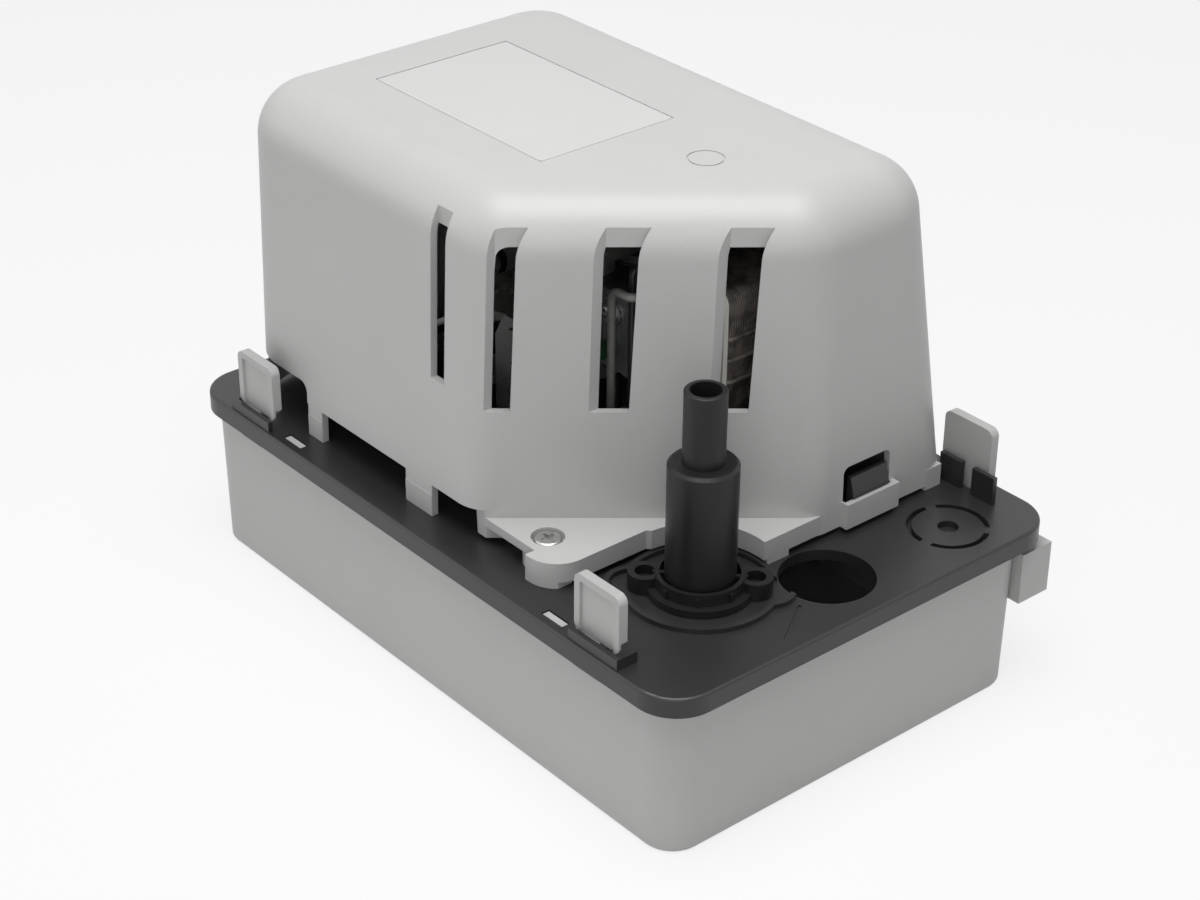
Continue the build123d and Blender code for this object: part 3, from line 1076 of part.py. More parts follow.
vane_height = IMPELLER_LEVELS[1] - IMPELLER_LEVELS[0] - IMPELLER_DISC
with BuildPart() as impeller:
    with BuildSketch(impeller_axis.offset(IMPELLER_LEVELS[1])):
        Circle(IMPELLER_RADIUS)
    extrude(amount=-IMPELLER_DISC)
    with BuildSketch(impeller_axis.offset(IMPELLER_LEVELS[0])):
        Circle(SHAFT_RADIUS + IMPELLER_HUB)
        for i in range(VANES):
            turn = 360 / VANES * i
            with BuildLine(mode=Mode.PRIVATE) as spine:
                JernArc((0, 0), (1, 0), VANE_ARC, VANE_SWEEP)
            with Locations(Location((0, 0, 0), (0, 0, turn)) * Location((SHAFT_RADIUS + VANE_ROOT, 0, 0))):
                add(trace(spine.line, VANE_WALL, mode=Mode.PRIVATE))
    extrude(amount=vane_height)
    with BuildSketch(impeller_axis.offset(IMPELLER_LEVELS[0])):
        Circle(IMPELLER_RADIUS + VANE_WALL * 4)
        Circle(IMPELLER_RADIUS, mode=Mode.SUBTRACT)
    extrude(amount=IMPELLER_LEVELS[1] - IMPELLER_LEVELS[0], mode=Mode.SUBTRACT)
    with BuildSketch(impeller_axis.offset(IMPELLER_LEVELS[0])):
        Circle(SHAFT_RADIUS + RUNNING_FIT)
    extrude(amount=VOLUTE_TOP, mode=Mode.SUBTRACT)
finish(impeller, "impeller")

fan_level = STACK_LEVELS[1] + BRIDGE_RISE + BRIDGE_PLATE + BEARING_HEIGHT + FAN_GAP
fan_top = fan_level + FAN_HEIGHT
with BuildPart() as shaft:
    with BuildSketch(impeller_axis.offset(IMPELLER_LEVELS[0])):
        Circle(SHAFT_RADIUS)
    extrude(amount=fan_top + SHAFT_PROUD - IMPELLER_LEVELS[0])
    chamfer(shaft.edges().filter_by(GeomType.CIRCLE), SHAFT_CHAMFER)
finish(shaft, "shaft")

with BuildPart() as shaft_seal:
    with BuildSketch(impeller_axis.offset(LID_UNDER + SEAT_GAP)):
        Circle(SEAL_RADIUS - RUNNING_FIT)
        Circle(SHAFT_RADIUS + RUNNING_FIT, mode=Mode.SUBTRACT)
    extrude(amount=SEAL_HEIGHT)
    with BuildSketch(impeller_axis.offset(LID_UNDER + SEAT_GAP + SEAL_HEIGHT)):
        Circle(SEAL_RADIUS - SEAL_SKIN)
        Circle(SHAFT_RADIUS + SEAL_LIP, mode=Mode.SUBTRACT)
    extrude(amount=-SEAL_HOLLOW, mode=Mode.SUBTRACT)
finish(shaft_seal, "shaft_seal")

with BuildPart() as slinger:
    with BuildSketch(impeller_axis.offset(SLINGER_LEVEL)):
        Circle(SLINGER_RADIUS)
        Circle(SHAFT_RADIUS + RUNNING_FIT, mode=Mode.SUBTRACT)
    extrude(amount=SLINGER_PLATE)
    with BuildSketch(impeller_axis.offset(SLINGER_LEVEL)):
        Circle(SHAFT_RADIUS + SLINGER_HUB[0])
        Circle(SHAFT_RADIUS + RUNNING_FIT, mode=Mode.SUBTRACT)
    extrude(amount=SLINGER_HUB[1])
finish(slinger, "slinger")


# ================================================================ motor
stack_bottom, stack_top = STACK_LEVELS
stack_middle = (stack_bottom + stack_top) / 2
leg_left, leg_right = pump_x + LEG_X[0], pump_x + LEG_X[1]
leg_centre = (leg_left + leg_right) / 2
window_x = (pump_x + WINDOW_LEFT, leg_left)
stack_front = pump_y - STACK_HALF_DEPTH
shading_spots = [(pump_x + (ROTOR_RADIUS + SHADING_OFFSET) * cos(radians(angle)),
                  pump_y + (ROTOR_RADIUS + SHADING_OFFSET) * sin(radians(angle)))
                 for angle in SHADING_ANGLES]

with BuildPart() as stator_stack:
    with BuildSketch(Plane.XY.offset(stack_bottom)):
        add(rounded_outline((pump_x - STACK_LEFT, leg_right),
                            (stack_front, pump_y + STACK_HALF_DEPTH), STACK_CORNER))
        with Locations(PUMP_AT):
            Circle(ROTOR_RADIUS + AIR_GAP, mode=Mode.SUBTRACT)
        with Locations((sum(window_x) / 2, pump_y)):
            Rectangle(window_x[1] - window_x[0], 2 * WINDOW_HALF_DEPTH, mode=Mode.SUBTRACT)
        with Locations(*posts):
            Circle(MOTOR_SCREW_RADIUS + RUNNING_FIT, mode=Mode.SUBTRACT)
        with Locations(*shading_spots):
            Circle(SHADING_BAR + RUNNING_FIT, mode=Mode.SUBTRACT)
    extrude(amount=stack_top - stack_bottom)
finish(stator_stack, "stator_stack")

with BuildPart() as shading_rings:
    with BuildSketch(Plane.XY.offset(stack_bottom - SHADING_PROUD)):
        with Locations(*shading_spots):
            Circle(SHADING_BAR)
    extrude(amount=stack_top - stack_bottom + 2 * SHADING_PROUD)
finish(shading_rings, "shading_rings")

bobbin_half = (leg_right - leg_left) / 2 + LOOSE_FIT
bobbin_half_height = (stack_top - stack_bottom) / 2 + LOOSE_FIT
cheek_depth = WINDOW_HALF_DEPTH - LOOSE_FIT
with BuildPart() as coil_bobbin:
    tube = (2 * (bobbin_half + BOBBIN_WALL), 2 * (bobbin_half_height + BOBBIN_WALL))
    cheek = (tube[0] + 2 * WINDING, tube[1] + 2 * WINDING)
    leg_front = Plane(origin=(leg_centre, pump_y - cheek_depth, stack_middle), x_dir=(1, 0, 0),
                      z_dir=(0, -1, 0))
    with BuildSketch(leg_front):
        Rectangle(*tube)
    extrude(amount=-2 * cheek_depth)
    for depth in (0, BOBBIN_CHEEK - 2 * cheek_depth):
        with BuildSketch(leg_front.offset(depth)):
            RectangleRounded(*cheek, CHEEK_CORNER)
        extrude(amount=-BOBBIN_CHEEK)
    with BuildSketch(leg_front):
        Rectangle(2 * bobbin_half, 2 * bobbin_half_height)
    extrude(amount=-2 * cheek_depth, mode=Mode.SUBTRACT)
finish(coil_bobbin, "coil_bobbin")

with BuildPart() as coil_winding:
    with BuildSketch(leg_front.offset(-BOBBIN_CHEEK - SEAT_GAP)):
        RectangleRounded(cheek[0] - 2 * WINDING_INSET, cheek[1] - 2 * WINDING_INSET, WINDING_CORNER)
        Rectangle(tube[0] + 2 * SEAT_GAP, tube[1] + 2 * SEAT_GAP, mode=Mode.SUBTRACT)
    extrude(amount=-2 * (cheek_depth - BOBBIN_CHEEK - SEAT_GAP))
finish(coil_winding, "coil_winding")

tab_rise = tube[1] / 2 + WINDING / 2
tab_spots = [(-COIL_TAB_OFFSET, tab_rise), (COIL_TAB_OFFSET, tab_rise)]
with BuildPart() as coil_terminals:
    with BuildSketch(leg_front.offset(SEAT_GAP)):
        with Locations(*tab_spots):
            Rectangle(COIL_TAB[0], COIL_TAB_FOOT)
    extrude(amount=COIL_TAB[1])
    with BuildSketch(leg_front.offset(SEAT_GAP)):
        with Locations(*tab_spots):
            Rectangle(*COIL_TAB)
    extrude(amount=COIL_TAB_LENGTH)
finish(coil_terminals, "coil_terminals")

with BuildPart() as rotor:
    with BuildSketch(impeller_axis.offset(stack_bottom)):
        Circle(ROTOR_RADIUS)
    extrude(amount=stack_top - stack_bottom)
    for level, way in ((stack_top, 1), (stack_bottom, -1)):
        with BuildSketch(impeller_axis.offset(level)):
            Circle(ROTOR_RADIUS - END_RING[0])
        extrude(amount=way * END_RING[1])
    with BuildSketch(impeller_axis.offset(stack_bottom - END_RING[1] - OVERCUT)):
        Circle(SHAFT_RADIUS + RUNNING_FIT)
    extrude(amount=stack_top - stack_bottom + 2 * (END_RING[1] + OVERCUT), mode=Mode.SUBTRACT)
finish(rotor, "rotor")


def bearing_bridge(face_level, way):
    """A bridge over the stack's face with a cup for a bearing; way is 1 above, -1 below."""
    outer = face_level + way * BRIDGE_RISE
    with BuildPart() as bridge:
        with BuildSketch(Plane.XY.offset(outer)):
            with Locations(PUMP_AT):
                SlotOverall(2 * MOTOR_SCREW_OFFSET + BRIDGE_WIDTH, BRIDGE_WIDTH, rotation=90)
        extrude(amount=way * BRIDGE_PLATE)
        with BuildSketch(Plane.XY.offset(face_level)):
            with Locations(*posts):
                Circle(BRIDGE_FOOT)
        extrude(amount=way * BRIDGE_RISE)
        cup_level = outer + way * (BRIDGE_PLATE - CUP_FLOOR)
        with BuildSketch(Plane.XY.offset(cup_level)):
            with Locations(PUMP_AT):
                Circle(BEARING_CUP)
        extrude(amount=way * (BEARING_HEIGHT + CUP_FLOOR))
        with BuildSketch(Plane.XY.offset(outer)):
            with Locations(PUMP_AT):
                Circle(BEARING_RADIUS + RUNNING_FIT)
        extrude(amount=way * (BRIDGE_PLATE + BEARING_HEIGHT - CUP_FLOOR), mode=Mode.SUBTRACT)
        with BuildSketch(Plane.XY.offset(outer)):
            with Locations(PUMP_AT):
                Circle(SHAFT_RADIUS + CUP_HOLE)
        extrude(amount=way * 2 * BEARING_HEIGHT, mode=Mode.SUBTRACT)
        with BuildSketch(Plane.XY.offset(face_level)):
            with Locations(*posts):
                Circle(MOTOR_SCREW_RADIUS + RUNNING_FIT)
        extrude(amount=way * 2 * BEARING_HEIGHT, mode=Mode.SUBTRACT)
    return bridge


def bearing(face_level, way):
    """A sintered bush that sits in the cup of a bearing bridge."""
    with BuildPart() as bush:
        with BuildSketch(impeller_axis.offset(face_level + way * (BRIDGE_RISE + BRIDGE_PLATE))):
            Circle(BEARING_RADIUS)
            Circle(SHAFT_RADIUS + RUNNING_FIT, mode=Mode.SUBTRACT)
        extrude(amount=way * (BEARING_HEIGHT - CUP_FLOOR - SEAT_GAP))
    return bush


finish(bearing_bridge(stack_top, 1), "upper_bridge")
finish(bearing_bridge(stack_bottom, -1), "lower_bridge")
finish(bearing(stack_top, 1), "upper_bearing")
finish(bearing(stack_bottom, -1), "lower_bearing")

screw_seat = stack_top + BRIDGE_RISE + BRIDGE_PLATE
with BuildPart() as motor_screws:
    with Locations(*[(x, y, screw_seat) for x, y in posts]):
        add(screw(*MOTOR_SCREW_HEAD, MOTOR_SCREW_RADIUS, screw_seat - post_top + MOTOR_SCREW_GRIP))
finish(motor_screws, "motor_screws")

with BuildPart() as motor_grommets:
    with BuildSketch(Plane.XY.offset(post_top + SEAT_GAP)):
        with Locations(*posts):
            Circle(GROMMET_RADIUS)
            Circle(MOTOR_SCREW_RADIUS + RUNNING_FIT, mode=Mode.SUBTRACT)
    extrude(amount=GROMMET_HEIGHT - 2 * SEAT_GAP)
finish(motor_grommets, "motor_grommets")

with BuildPart() as fan:
    with BuildSketch(impeller_axis.offset(fan_level)):
        Circle(FAN_HUB)
    extrude(amount=FAN_HEIGHT)
    for i in range(FAN_BLADES):
        blade_turn = radians(360 / FAN_BLADES * i)
        outward = (cos(blade_turn), sin(blade_turn), 0)
        lean = radians(FAN_PITCH)
        across = (-sin(blade_turn) * cos(lean), cos(blade_turn) * cos(lean), sin(lean))
        root_radius = FAN_HUB - OVERLAP
        root = Plane(origin=(pump_x + outward[0] * root_radius, pump_y + outward[1] * root_radius,
                             fan_level + FAN_HEIGHT / 2), x_dir=across, z_dir=outward)
        with BuildSketch(root):
            Rectangle(FAN_HEIGHT / sin(lean) * FAN_CHORD, FAN_BLADE_WALL)
        extrude(amount=FAN_RADIUS - FAN_HUB + OVERLAP)
    with BuildSketch(impeller_axis.offset(fan_level - OVERCUT)):
        Circle(SHAFT_RADIUS + RUNNING_FIT)
    extrude(amount=FAN_HEIGHT + 2 * OVERCUT, mode=Mode.SUBTRACT)
finish(fan, "fan")

earth_at = (pump_x + TAG_OFFSET[0], stack_front - SEAT_GAP, stack_middle + TAG_OFFSET[1])
earth_face = Plane(origin=earth_at, x_dir=(1, 0, 0), z_dir=(0, -1, 0))
with BuildPart() as earth_tag:
    with BuildSketch(earth_face):
        Circle(TAG_EYE[0])
        with Locations((0, -(TAG_DROP + TAG_STEEL / 2) / 2)):
            Rectangle(TAG_WIDTH, TAG_DROP + TAG_STEEL / 2)
        Circle(TAG_EYE[1], mode=Mode.SUBTRACT)
    extrude(amount=TAG_STEEL)
    with BuildSketch(earth_face.offset(TAG_STEEL)):
        with Locations((0, -TAG_DROP)):
            Rectangle(TAG_WIDTH, TAG_STEEL)
    extrude(amount=TAG_BLADE)
finish(earth_tag, "earth_tag")

with BuildPart() as earth_screw:
    with Locations(earth_face.offset(TAG_STEEL).location):
        add(screw(*EARTH_SCREW))
finish(earth_screw, "earth_screw")


# ================================================================ float and switches
float_x, float_y = FLOAT_AT
stem_line = Plane(origin=(*FLOAT_AT, 0))
float_span = [(c - size / 2, c + size / 2) for c, size in zip(FLOAT_AT, FLOAT_SIZE)]
pivot_x = float_x + LEVER_ARM
half_swing = asin(FLOAT_TRAVEL / 2 / LEVER_ARM)
fork_z = LEVER_PIVOT_Z - FLOAT_TRAVEL / 2
stop_gap = LEVER_PLATE / 2 + LOOSE_FIT + STOP_PLAY

with BuildPart() as float_body:
    with BuildSketch(Plane.XY.offset(FLOAT_BOTTOM)):
        add(rounded_outline(*float_span, FLOAT_CORNER))
    extrude(amount=FLOAT_SIZE[2])
    fillet(float_body.faces().filter_by(Axis.Z).edges(), FLOAT_EDGE)
    with BuildSketch(stem_line.offset(FLOAT_BOTTOM + FLOAT_SIZE[2])):
        Circle(FLOAT_BOSS[0])
    extrude(amount=FLOAT_BOSS[1])
    with BuildSketch(stem_line.offset(FLOAT_BOTTOM + FLOAT_SIZE[2] + FLOAT_BOSS[1])):
        Circle(STEM_RADIUS + RUNNING_FIT)
    extrude(amount=-STEM_SOCKET, mode=Mode.SUBTRACT)
finish(float_body, "float_body")

with BuildPart() as float_stem:
    stem_bottom = FLOAT_BOTTOM + FLOAT_SIZE[2] - STEM_SUNK
    with BuildSketch(stem_line.offset(stem_bottom)):
        Circle(STEM_RADIUS)
    extrude(amount=LEVER_PIVOT_Z + STEM_SPARE - stem_bottom)
    chamfer(float_stem.faces().sort_by(Axis.Z)[-1].edges(), STEM_CHAMFER)
    for way in (-1, 1):
        with BuildSketch(stem_line.offset(fork_z + way * stop_gap)):
            Circle(STEM_RADIUS + STOP_COLLAR[0])
        extrude(amount=way * STOP_COLLAR[1])
finish(float_stem, "float_stem")

with BuildPart() as stem_bush:
    with BuildSketch(stem_line.offset(LID_UNDER - BUSH_SKIRT)):
        Circle(BUSH_RADIUS)
    extrude(amount=LID_PLATE + BUSH_SKIRT + SEAT_GAP)
    with BuildSketch(stem_line.offset(LID_TOP + SEAT_GAP)):
        Circle(BUSH_HEAD)
    extrude(amount=BUSH_CAP)
    with BuildSketch(stem_line.offset(LID_UNDER - BUSH_SKIRT)):
        Circle(STEM_RADIUS + RUNNING_FIT)
    extrude(amount=LID_TOP, mode=Mode.SUBTRACT)
finish(stem_bush, "stem_bush")

lever_plane = Plane(origin=(pivot_x, 0, LEVER_PIVOT_Z),
                    x_dir=(cos(half_swing), 0, sin(half_swing)),
                    z_dir=(-sin(half_swing), 0, cos(half_swing)))
lever_reach = LEVER_ARM / cos(half_swing)
with BuildPart() as switch_lever:
    with BuildSketch(lever_plane):
        with Locations((-lever_reach / 2, 0)):
            Rectangle(lever_reach + 2 * LEVER_TIP, LEVER_WIDTH)
        with Locations((LEVER_TAIL / 2, 0)):
            Rectangle(LEVER_TAIL, LEVER_TAIL_WIDTH)
        with Locations((-lever_reach - FORK_SLOT[1], 0)):
            SlotOverall(FORK_SLOT[0], 2 * (STEM_RADIUS + LOOSE_FIT), mode=Mode.SUBTRACT)
    extrude(amount=LEVER_PLATE / 2, both=True)
    with BuildSketch(Plane.XZ):
        with Locations((pivot_x, LEVER_PIVOT_Z)):
            Circle(LEVER_PIN + LEVER_HUB)
    extrude(amount=LEVER_TAIL_WIDTH / 2, both=True)
    with BuildSketch(Plane.XZ):
        with Locations((pivot_x, LEVER_PIVOT_Z)):
            Circle(LEVER_PIN + RUNNING_FIT)
    extrude(amount=LEVER_TAIL_WIDTH, both=True, mode=Mode.SUBTRACT)
finish(switch_lever, "switch_lever")

with BuildPart() as lever_pin:
    pin_half = BRACKET_SIDE + BRACKET_WALL + PIN_PROUD
    with BuildSketch(Plane.XZ):
        with Locations((pivot_x, LEVER_PIVOT_Z)):
            Circle(LEVER_PIN)
    extrude(amount=pin_half, both=True)
    chamfer(lever_pin.edges().filter_by(GeomType.CIRCLE), PIN_CHAMFER)
finish(lever_pin, "lever_pin")

plunger_x = pivot_x + PLUNGER_ARM * cos(half_swing)
tail_under = LEVER_PIVOT_Z + (plunger_x - pivot_x) * tan(half_swing) - LEVER_PLATE / 2 / cos(half_swing)
plunger_top = tail_under - PLUNGER_RADIUS * (1 / cos(half_swing) - 1) - PLUNGER_PLAY
plunger_travel = 2 * PLUNGER_ARM * sin(half_swing)
switch_top = plunger_top - PLUNGER_PROUD
switch_x = (plunger_x - SWITCH_NOSE, plunger_x - SWITCH_NOSE + SWITCH_SIZE[0])
switch_holes = [(plunger_x + step, switch_top - SWITCH_HOLE_DROP) for step in SWITCH_HOLES]
switch_floor = switch_top - SWITCH_SIZE[2]

for name, way in (("run", -1), ("alarm", 1)):
    row = way * SWITCH_OFFSET
    with BuildPart() as switch_case:
        with BuildSketch(Plane.XY.offset(switch_top)):
            with Locations((sum(switch_x) / 2, row)):
                Rectangle(SWITCH_SIZE[0], SWITCH_SIZE[1])
        extrude(amount=-SWITCH_SIZE[2])
        with BuildSketch(Plane.XY.offset(switch_top)):
            with Locations((plunger_x, row)):
                Circle(PLUNGER_RADIUS + RUNNING_FIT)
        extrude(amount=-plunger_travel - PLUNGER_POCKET, mode=Mode.SUBTRACT)
        with BuildSketch(Plane.XZ):
            with Locations(*switch_holes):
                Circle(SWITCH_PIN + RUNNING_FIT)
        extrude(amount=2 * SWITCH_OFFSET + SWITCH_SIZE[1], both=True, mode=Mode.SUBTRACT)
        with BuildSketch(Plane.XY.offset(switch_floor)):
            for step in SWITCH_TABS:
                with Locations((switch_x[0] + step, row)):
                    Rectangle(*SWITCH_TAB)
        extrude(amount=-SWITCH_TAB_LENGTH)
    finish(switch_case, f"{name}_switch")
    with BuildPart() as plunger:
        with BuildSketch(Plane.XY.offset(switch_top - PLUNGER_HIDDEN)):
            with Locations((plunger_x, row)):
                Circle(PLUNGER_RADIUS)
        extrude(amount=plunger_top - switch_top + PLUNGER_HIDDEN)
        fillet(plunger.faces().sort_by(Axis.Z)[-1].edges(), PLUNGER_TIP)
    finish(plunger, f"{name}_plunger")

with BuildPart() as switch_bracket:
    with BuildSketch(Plane.XY.offset(LID_TOP)):
        with Locations((sum(BRACKET_X) / 2, 0)):
            Rectangle(BRACKET_X[1] - BRACKET_X[0], 2 * (BRACKET_SIDE + BRACKET_WALL))
        with Locations(*bracket_screws):
            Circle(BRACKET_SCREW[2] + 2 * RUNNING_FIT, mode=Mode.SUBTRACT)
    extrude(amount=BRACKET_BASE)
    for way in (-1, 1):
        with BuildSketch(Plane.XZ.offset(-way * BRACKET_SIDE)) as cheek_outline:
            with BuildLine():
                Polyline((BRACKET_X[0], LID_TOP), (BRACKET_X[1], LID_TOP), (BRACKET_X[1], switch_top),
                         (pivot_x + BRACKET_EAR, LEVER_PIVOT_Z + BRACKET_EAR),
                         (pivot_x - BRACKET_EAR, LEVER_PIVOT_Z + BRACKET_EAR),
                         (BRACKET_X[0], switch_top), close=True)
            make_face()
            fillet(cheek_outline.vertices().group_by(Axis.Y)[-1], BRACKET_CORNER)
            with Locations((pivot_x, LEVER_PIVOT_Z)):
                Circle(LEVER_PIN + RUNNING_FIT, mode=Mode.SUBTRACT)
            with Locations(*switch_holes):
                Circle(SWITCH_PIN + RUNNING_FIT, mode=Mode.SUBTRACT)
        extrude(amount=-way * BRACKET_WALL)
finish(switch_bracket, "switch_bracket")

with BuildPart() as bracket_screws_node:
    with Locations(*[(x, y, LID_TOP + BRACKET_BASE) for x, y in bracket_screws]):
        add(screw(*BRACKET_SCREW))
finish(bracket_screws_node, "bracket_screws")

with BuildPart() as switch_pins:
    with BuildSketch(Plane.XZ):
        with Locations(*switch_holes):
            Circle(SWITCH_PIN)
    extrude(amount=BRACKET_SIDE + BRACKET_WALL + SWITCH_PIN_PROUD, both=True)
finish(switch_pins, "switch_pins")


# ================================================================ terminal block
pole_pitch = TERMINAL_SIZE[0] / TERMINAL_POLES
poles = [(TERMINAL_AT[0] + (i - (TERMINAL_POLES - 1) / 2) * pole_pitch, TERMINAL_AT[1])
         for i in range(TERMINAL_POLES)]
with BuildPart() as terminal_block:
    with BuildSketch(Plane.XY.offset(LID_TOP)):
        with Locations(TERMINAL_AT):
            Rectangle(TERMINAL_SIZE[0], TERMINAL_SIZE[1])
    extrude(amount=TERMINAL_BASE)
    with BuildSketch(Plane.XY.offset(LID_TOP + TERMINAL_BASE)):
        with Locations(*poles):
            RectangleRounded(pole_pitch - POLE_MARGIN[0], TERMINAL_SIZE[1] - POLE_MARGIN[1], POLE_CORNER)
    extrude(amount=TERMINAL_SIZE[2] - TERMINAL_BASE)
    with BuildSketch(Plane.XY.offset(LID_TOP + TERMINAL_SIZE[2])):
        with Locations(*poles):
            Circle(POLE_WELL[0])
    extrude(amount=-POLE_WELL[1], mode=Mode.SUBTRACT)
    with BuildSketch(Plane.XY.offset(LID_TOP + TERMINAL_SIZE[2] - POLE_WELL[1])):
        with Locations(*poles):
            Circle(TERMINAL_SCREW[2] + RUNNING_FIT)
    extrude(amount=-POLE_THREAD, mode=Mode.SUBTRACT)
    with BuildSketch(Plane.XZ.offset(-TERMINAL_AT[1])):
        with Locations(*[(x, LID_TOP + TERMINAL_ENTRY[0]) for x, y in poles]):
            Circle(TERMINAL_ENTRY[1])
    extrude(amount=TERMINAL_SIZE[1], both=True, mode=Mode.SUBTRACT)
finish(terminal_block, "terminal_block")

with BuildPart() as terminal_screws:
    with Locations(*[(x, y, LID_TOP + TERMINAL_SIZE[2] - POLE_WELL[1]) for x, y in poles]):
        add(screw(*TERMINAL_SCREW))
finish(terminal_screws, "terminal_screws")


# ================================================================ leads
def lead(route, bend):
    """An insulated lead along straight runs that are joined by arcs."""
    with BuildPart(mode=Mode.PRIVATE) as wire:
        with BuildLine() as path:
            FilletPolyline(*route, radius=bend)
        with BuildSketch(Plane(origin=path.line @ 0, z_dir=path.line % 0)):
            Circle(LEAD_RADIUS)
        sweep()
    return wire.part


def receptacle(mouth, blade, depth):
    """A push-on receptacle, open at the mouth plane, that takes depth of a blade."""
    width, thickness = blade
    with BuildPart(mode=Mode.PRIVATE) as sleeve:
        with BuildSketch(mouth):
            Rectangle(width + 2 * RECEPTACLE_WALL, thickness + 2 * RECEPTACLE_WALL)
        extrude(amount=RECEPTACLE_LENGTH)
        with BuildSketch(mouth):
            Rectangle(width + 2 * SEAT_GAP, thickness + 2 * SEAT_GAP)
        extrude(amount=depth + LOOSE_FIT, mode=Mode.SUBTRACT)
    return sleeve.part


run_z = LID_TOP + TERMINAL_ENTRY[0]
held_y = TERMINAL_AT[1] + TERMINAL_SIZE[1] / 2 - LEAD_HELD
earth_pole, neutral_pole, supply_pole = (x for x, y in poles)
blade_inside = RECEPTACLE_LENGTH - RECEPTACLE_END

# earth: from the terminal block to the tag on the motor's stack
tag_x = earth_at[0]
tag_z = earth_at[2] - TAG_DROP
tag_end = earth_at[1] - TAG_STEEL - TAG_BLADE
earth_mouth = Plane(origin=(tag_x, tag_end + blade_inside - LOOSE_FIT, tag_z), x_dir=(1, 0, 0),
                    z_dir=(0, -1, 0))
earth_back = earth_mouth.origin.Y - RECEPTACLE_LENGTH
with BuildPart() as earth_lead:
    add(receptacle(earth_mouth, (TAG_WIDTH, TAG_STEEL), blade_inside))
    add(lead([(earth_pole, held_y, run_z), (earth_pole, EARTH_RUN_Y, run_z), (tag_x, EARTH_RUN_Y, run_z),
              (tag_x, EARTH_RUN_Y, tag_z), (tag_x, earth_back + LEAD_SUNK, tag_z)], TIGHT_BEND))
finish(earth_lead, "earth_lead")

# neutral: from the terminal block to the winding's first tab
tab_z = stack_middle + tab_rise
tab_end = pump_y - cheek_depth - SEAT_GAP - COIL_TAB_LENGTH
first_tab_x = leg_centre - COIL_TAB_OFFSET
second_tab_x = leg_centre + COIL_TAB_OFFSET
neutral_mouth = Plane(origin=(first_tab_x, tab_end + blade_inside - LOOSE_FIT, tab_z), x_dir=(1, 0, 0),
                      z_dir=(0, -1, 0))
neutral_back = neutral_mouth.origin.Y - RECEPTACLE_LENGTH
with BuildPart() as neutral_lead:
    add(receptacle(neutral_mouth, COIL_TAB, blade_inside))
    add(lead([(neutral_pole, held_y, run_z), (neutral_pole, NEUTRAL_RUN_Y, run_z),
              (NEUTRAL_RISE_X, NEUTRAL_RUN_Y, run_z), (NEUTRAL_RISE_X, NEUTRAL_RUN_Y, tab_z),
              (first_tab_x, NEUTRAL_RUN_Y, tab_z),
              (first_tab_x, neutral_back + LEAD_SUNK, tab_z)], LEAD_BEND))
finish(neutral_lead, "neutral_lead")

# supply: from the terminal block to the run switch's first terminal
switch_mouth_z = switch_floor - SEAT_GAP
lead_start_z = switch_mouth_z - RECEPTACLE_LENGTH + LEAD_SUNK
run_row = -SWITCH_OFFSET
supply_tab_x = switch_x[0] + SWITCH_TABS[0]
switched_tab_x = switch_x[0] + SWITCH_TABS[2]
switch_blade = (SWITCH_TAB[1], SWITCH_TAB[0])
with BuildPart() as supply_lead:
    add(receptacle(Plane(origin=(supply_tab_x, run_row, switch_mouth_z),
                         x_dir=(0, 1, 0), z_dir=(0, 0, -1)),
                   switch_blade, SWITCH_TAB_LENGTH))
    add(lead([(supply_pole, held_y, run_z), (supply_pole, SUPPLY_RUN[1], run_z),
              (SUPPLY_RUN[0], SUPPLY_RUN[1], run_z), (SUPPLY_RUN[0], run_row, run_z),
              (supply_tab_x, run_row, run_z),
              (supply_tab_x, run_row, lead_start_z)], LEAD_BEND))
finish(supply_lead, "supply_lead")

# switched: from the run switch's last terminal to the winding's second tab
flag_y = neutral_back + LEAD_BEND
switched_top = tab_z + SWITCHED_LIFT
with BuildPart() as switched_lead:
    add(receptacle(Plane(origin=(switched_tab_x, run_row, switch_mouth_z),
                         x_dir=(0, 1, 0), z_dir=(0, 0, -1)),
                   switch_blade, SWITCH_TAB_LENGTH))
    add(receptacle(Plane(origin=(second_tab_x, neutral_mouth.origin.Y, tab_z), x_dir=(1, 0, 0),
                         z_dir=(0, -1, 0)), COIL_TAB, blade_inside))
    add(lead([(switched_tab_x, run_row, lead_start_z),
              (switched_tab_x, run_row, run_z), (SWITCHED_START_X, run_row, run_z),
              (SWITCHED_START_X, SWITCHED_RUN_Y, run_z), (SWITCHED_RISE_X, SWITCHED_RUN_Y, run_z),
              (SWITCHED_RISE_X, SWITCHED_RUN_Y, switched_top), (SWITCHED_RISE_X, flag_y, switched_top),
              (second_tab_x, flag_y, switched_top),
              (second_tab_x, flag_y, tab_z + COIL_TAB[1] / 2 + SEAT_GAP + RECEPTACLE_WALL / 2)],
             TIGHT_BEND))
finish(switched_lead, "switched_lead")
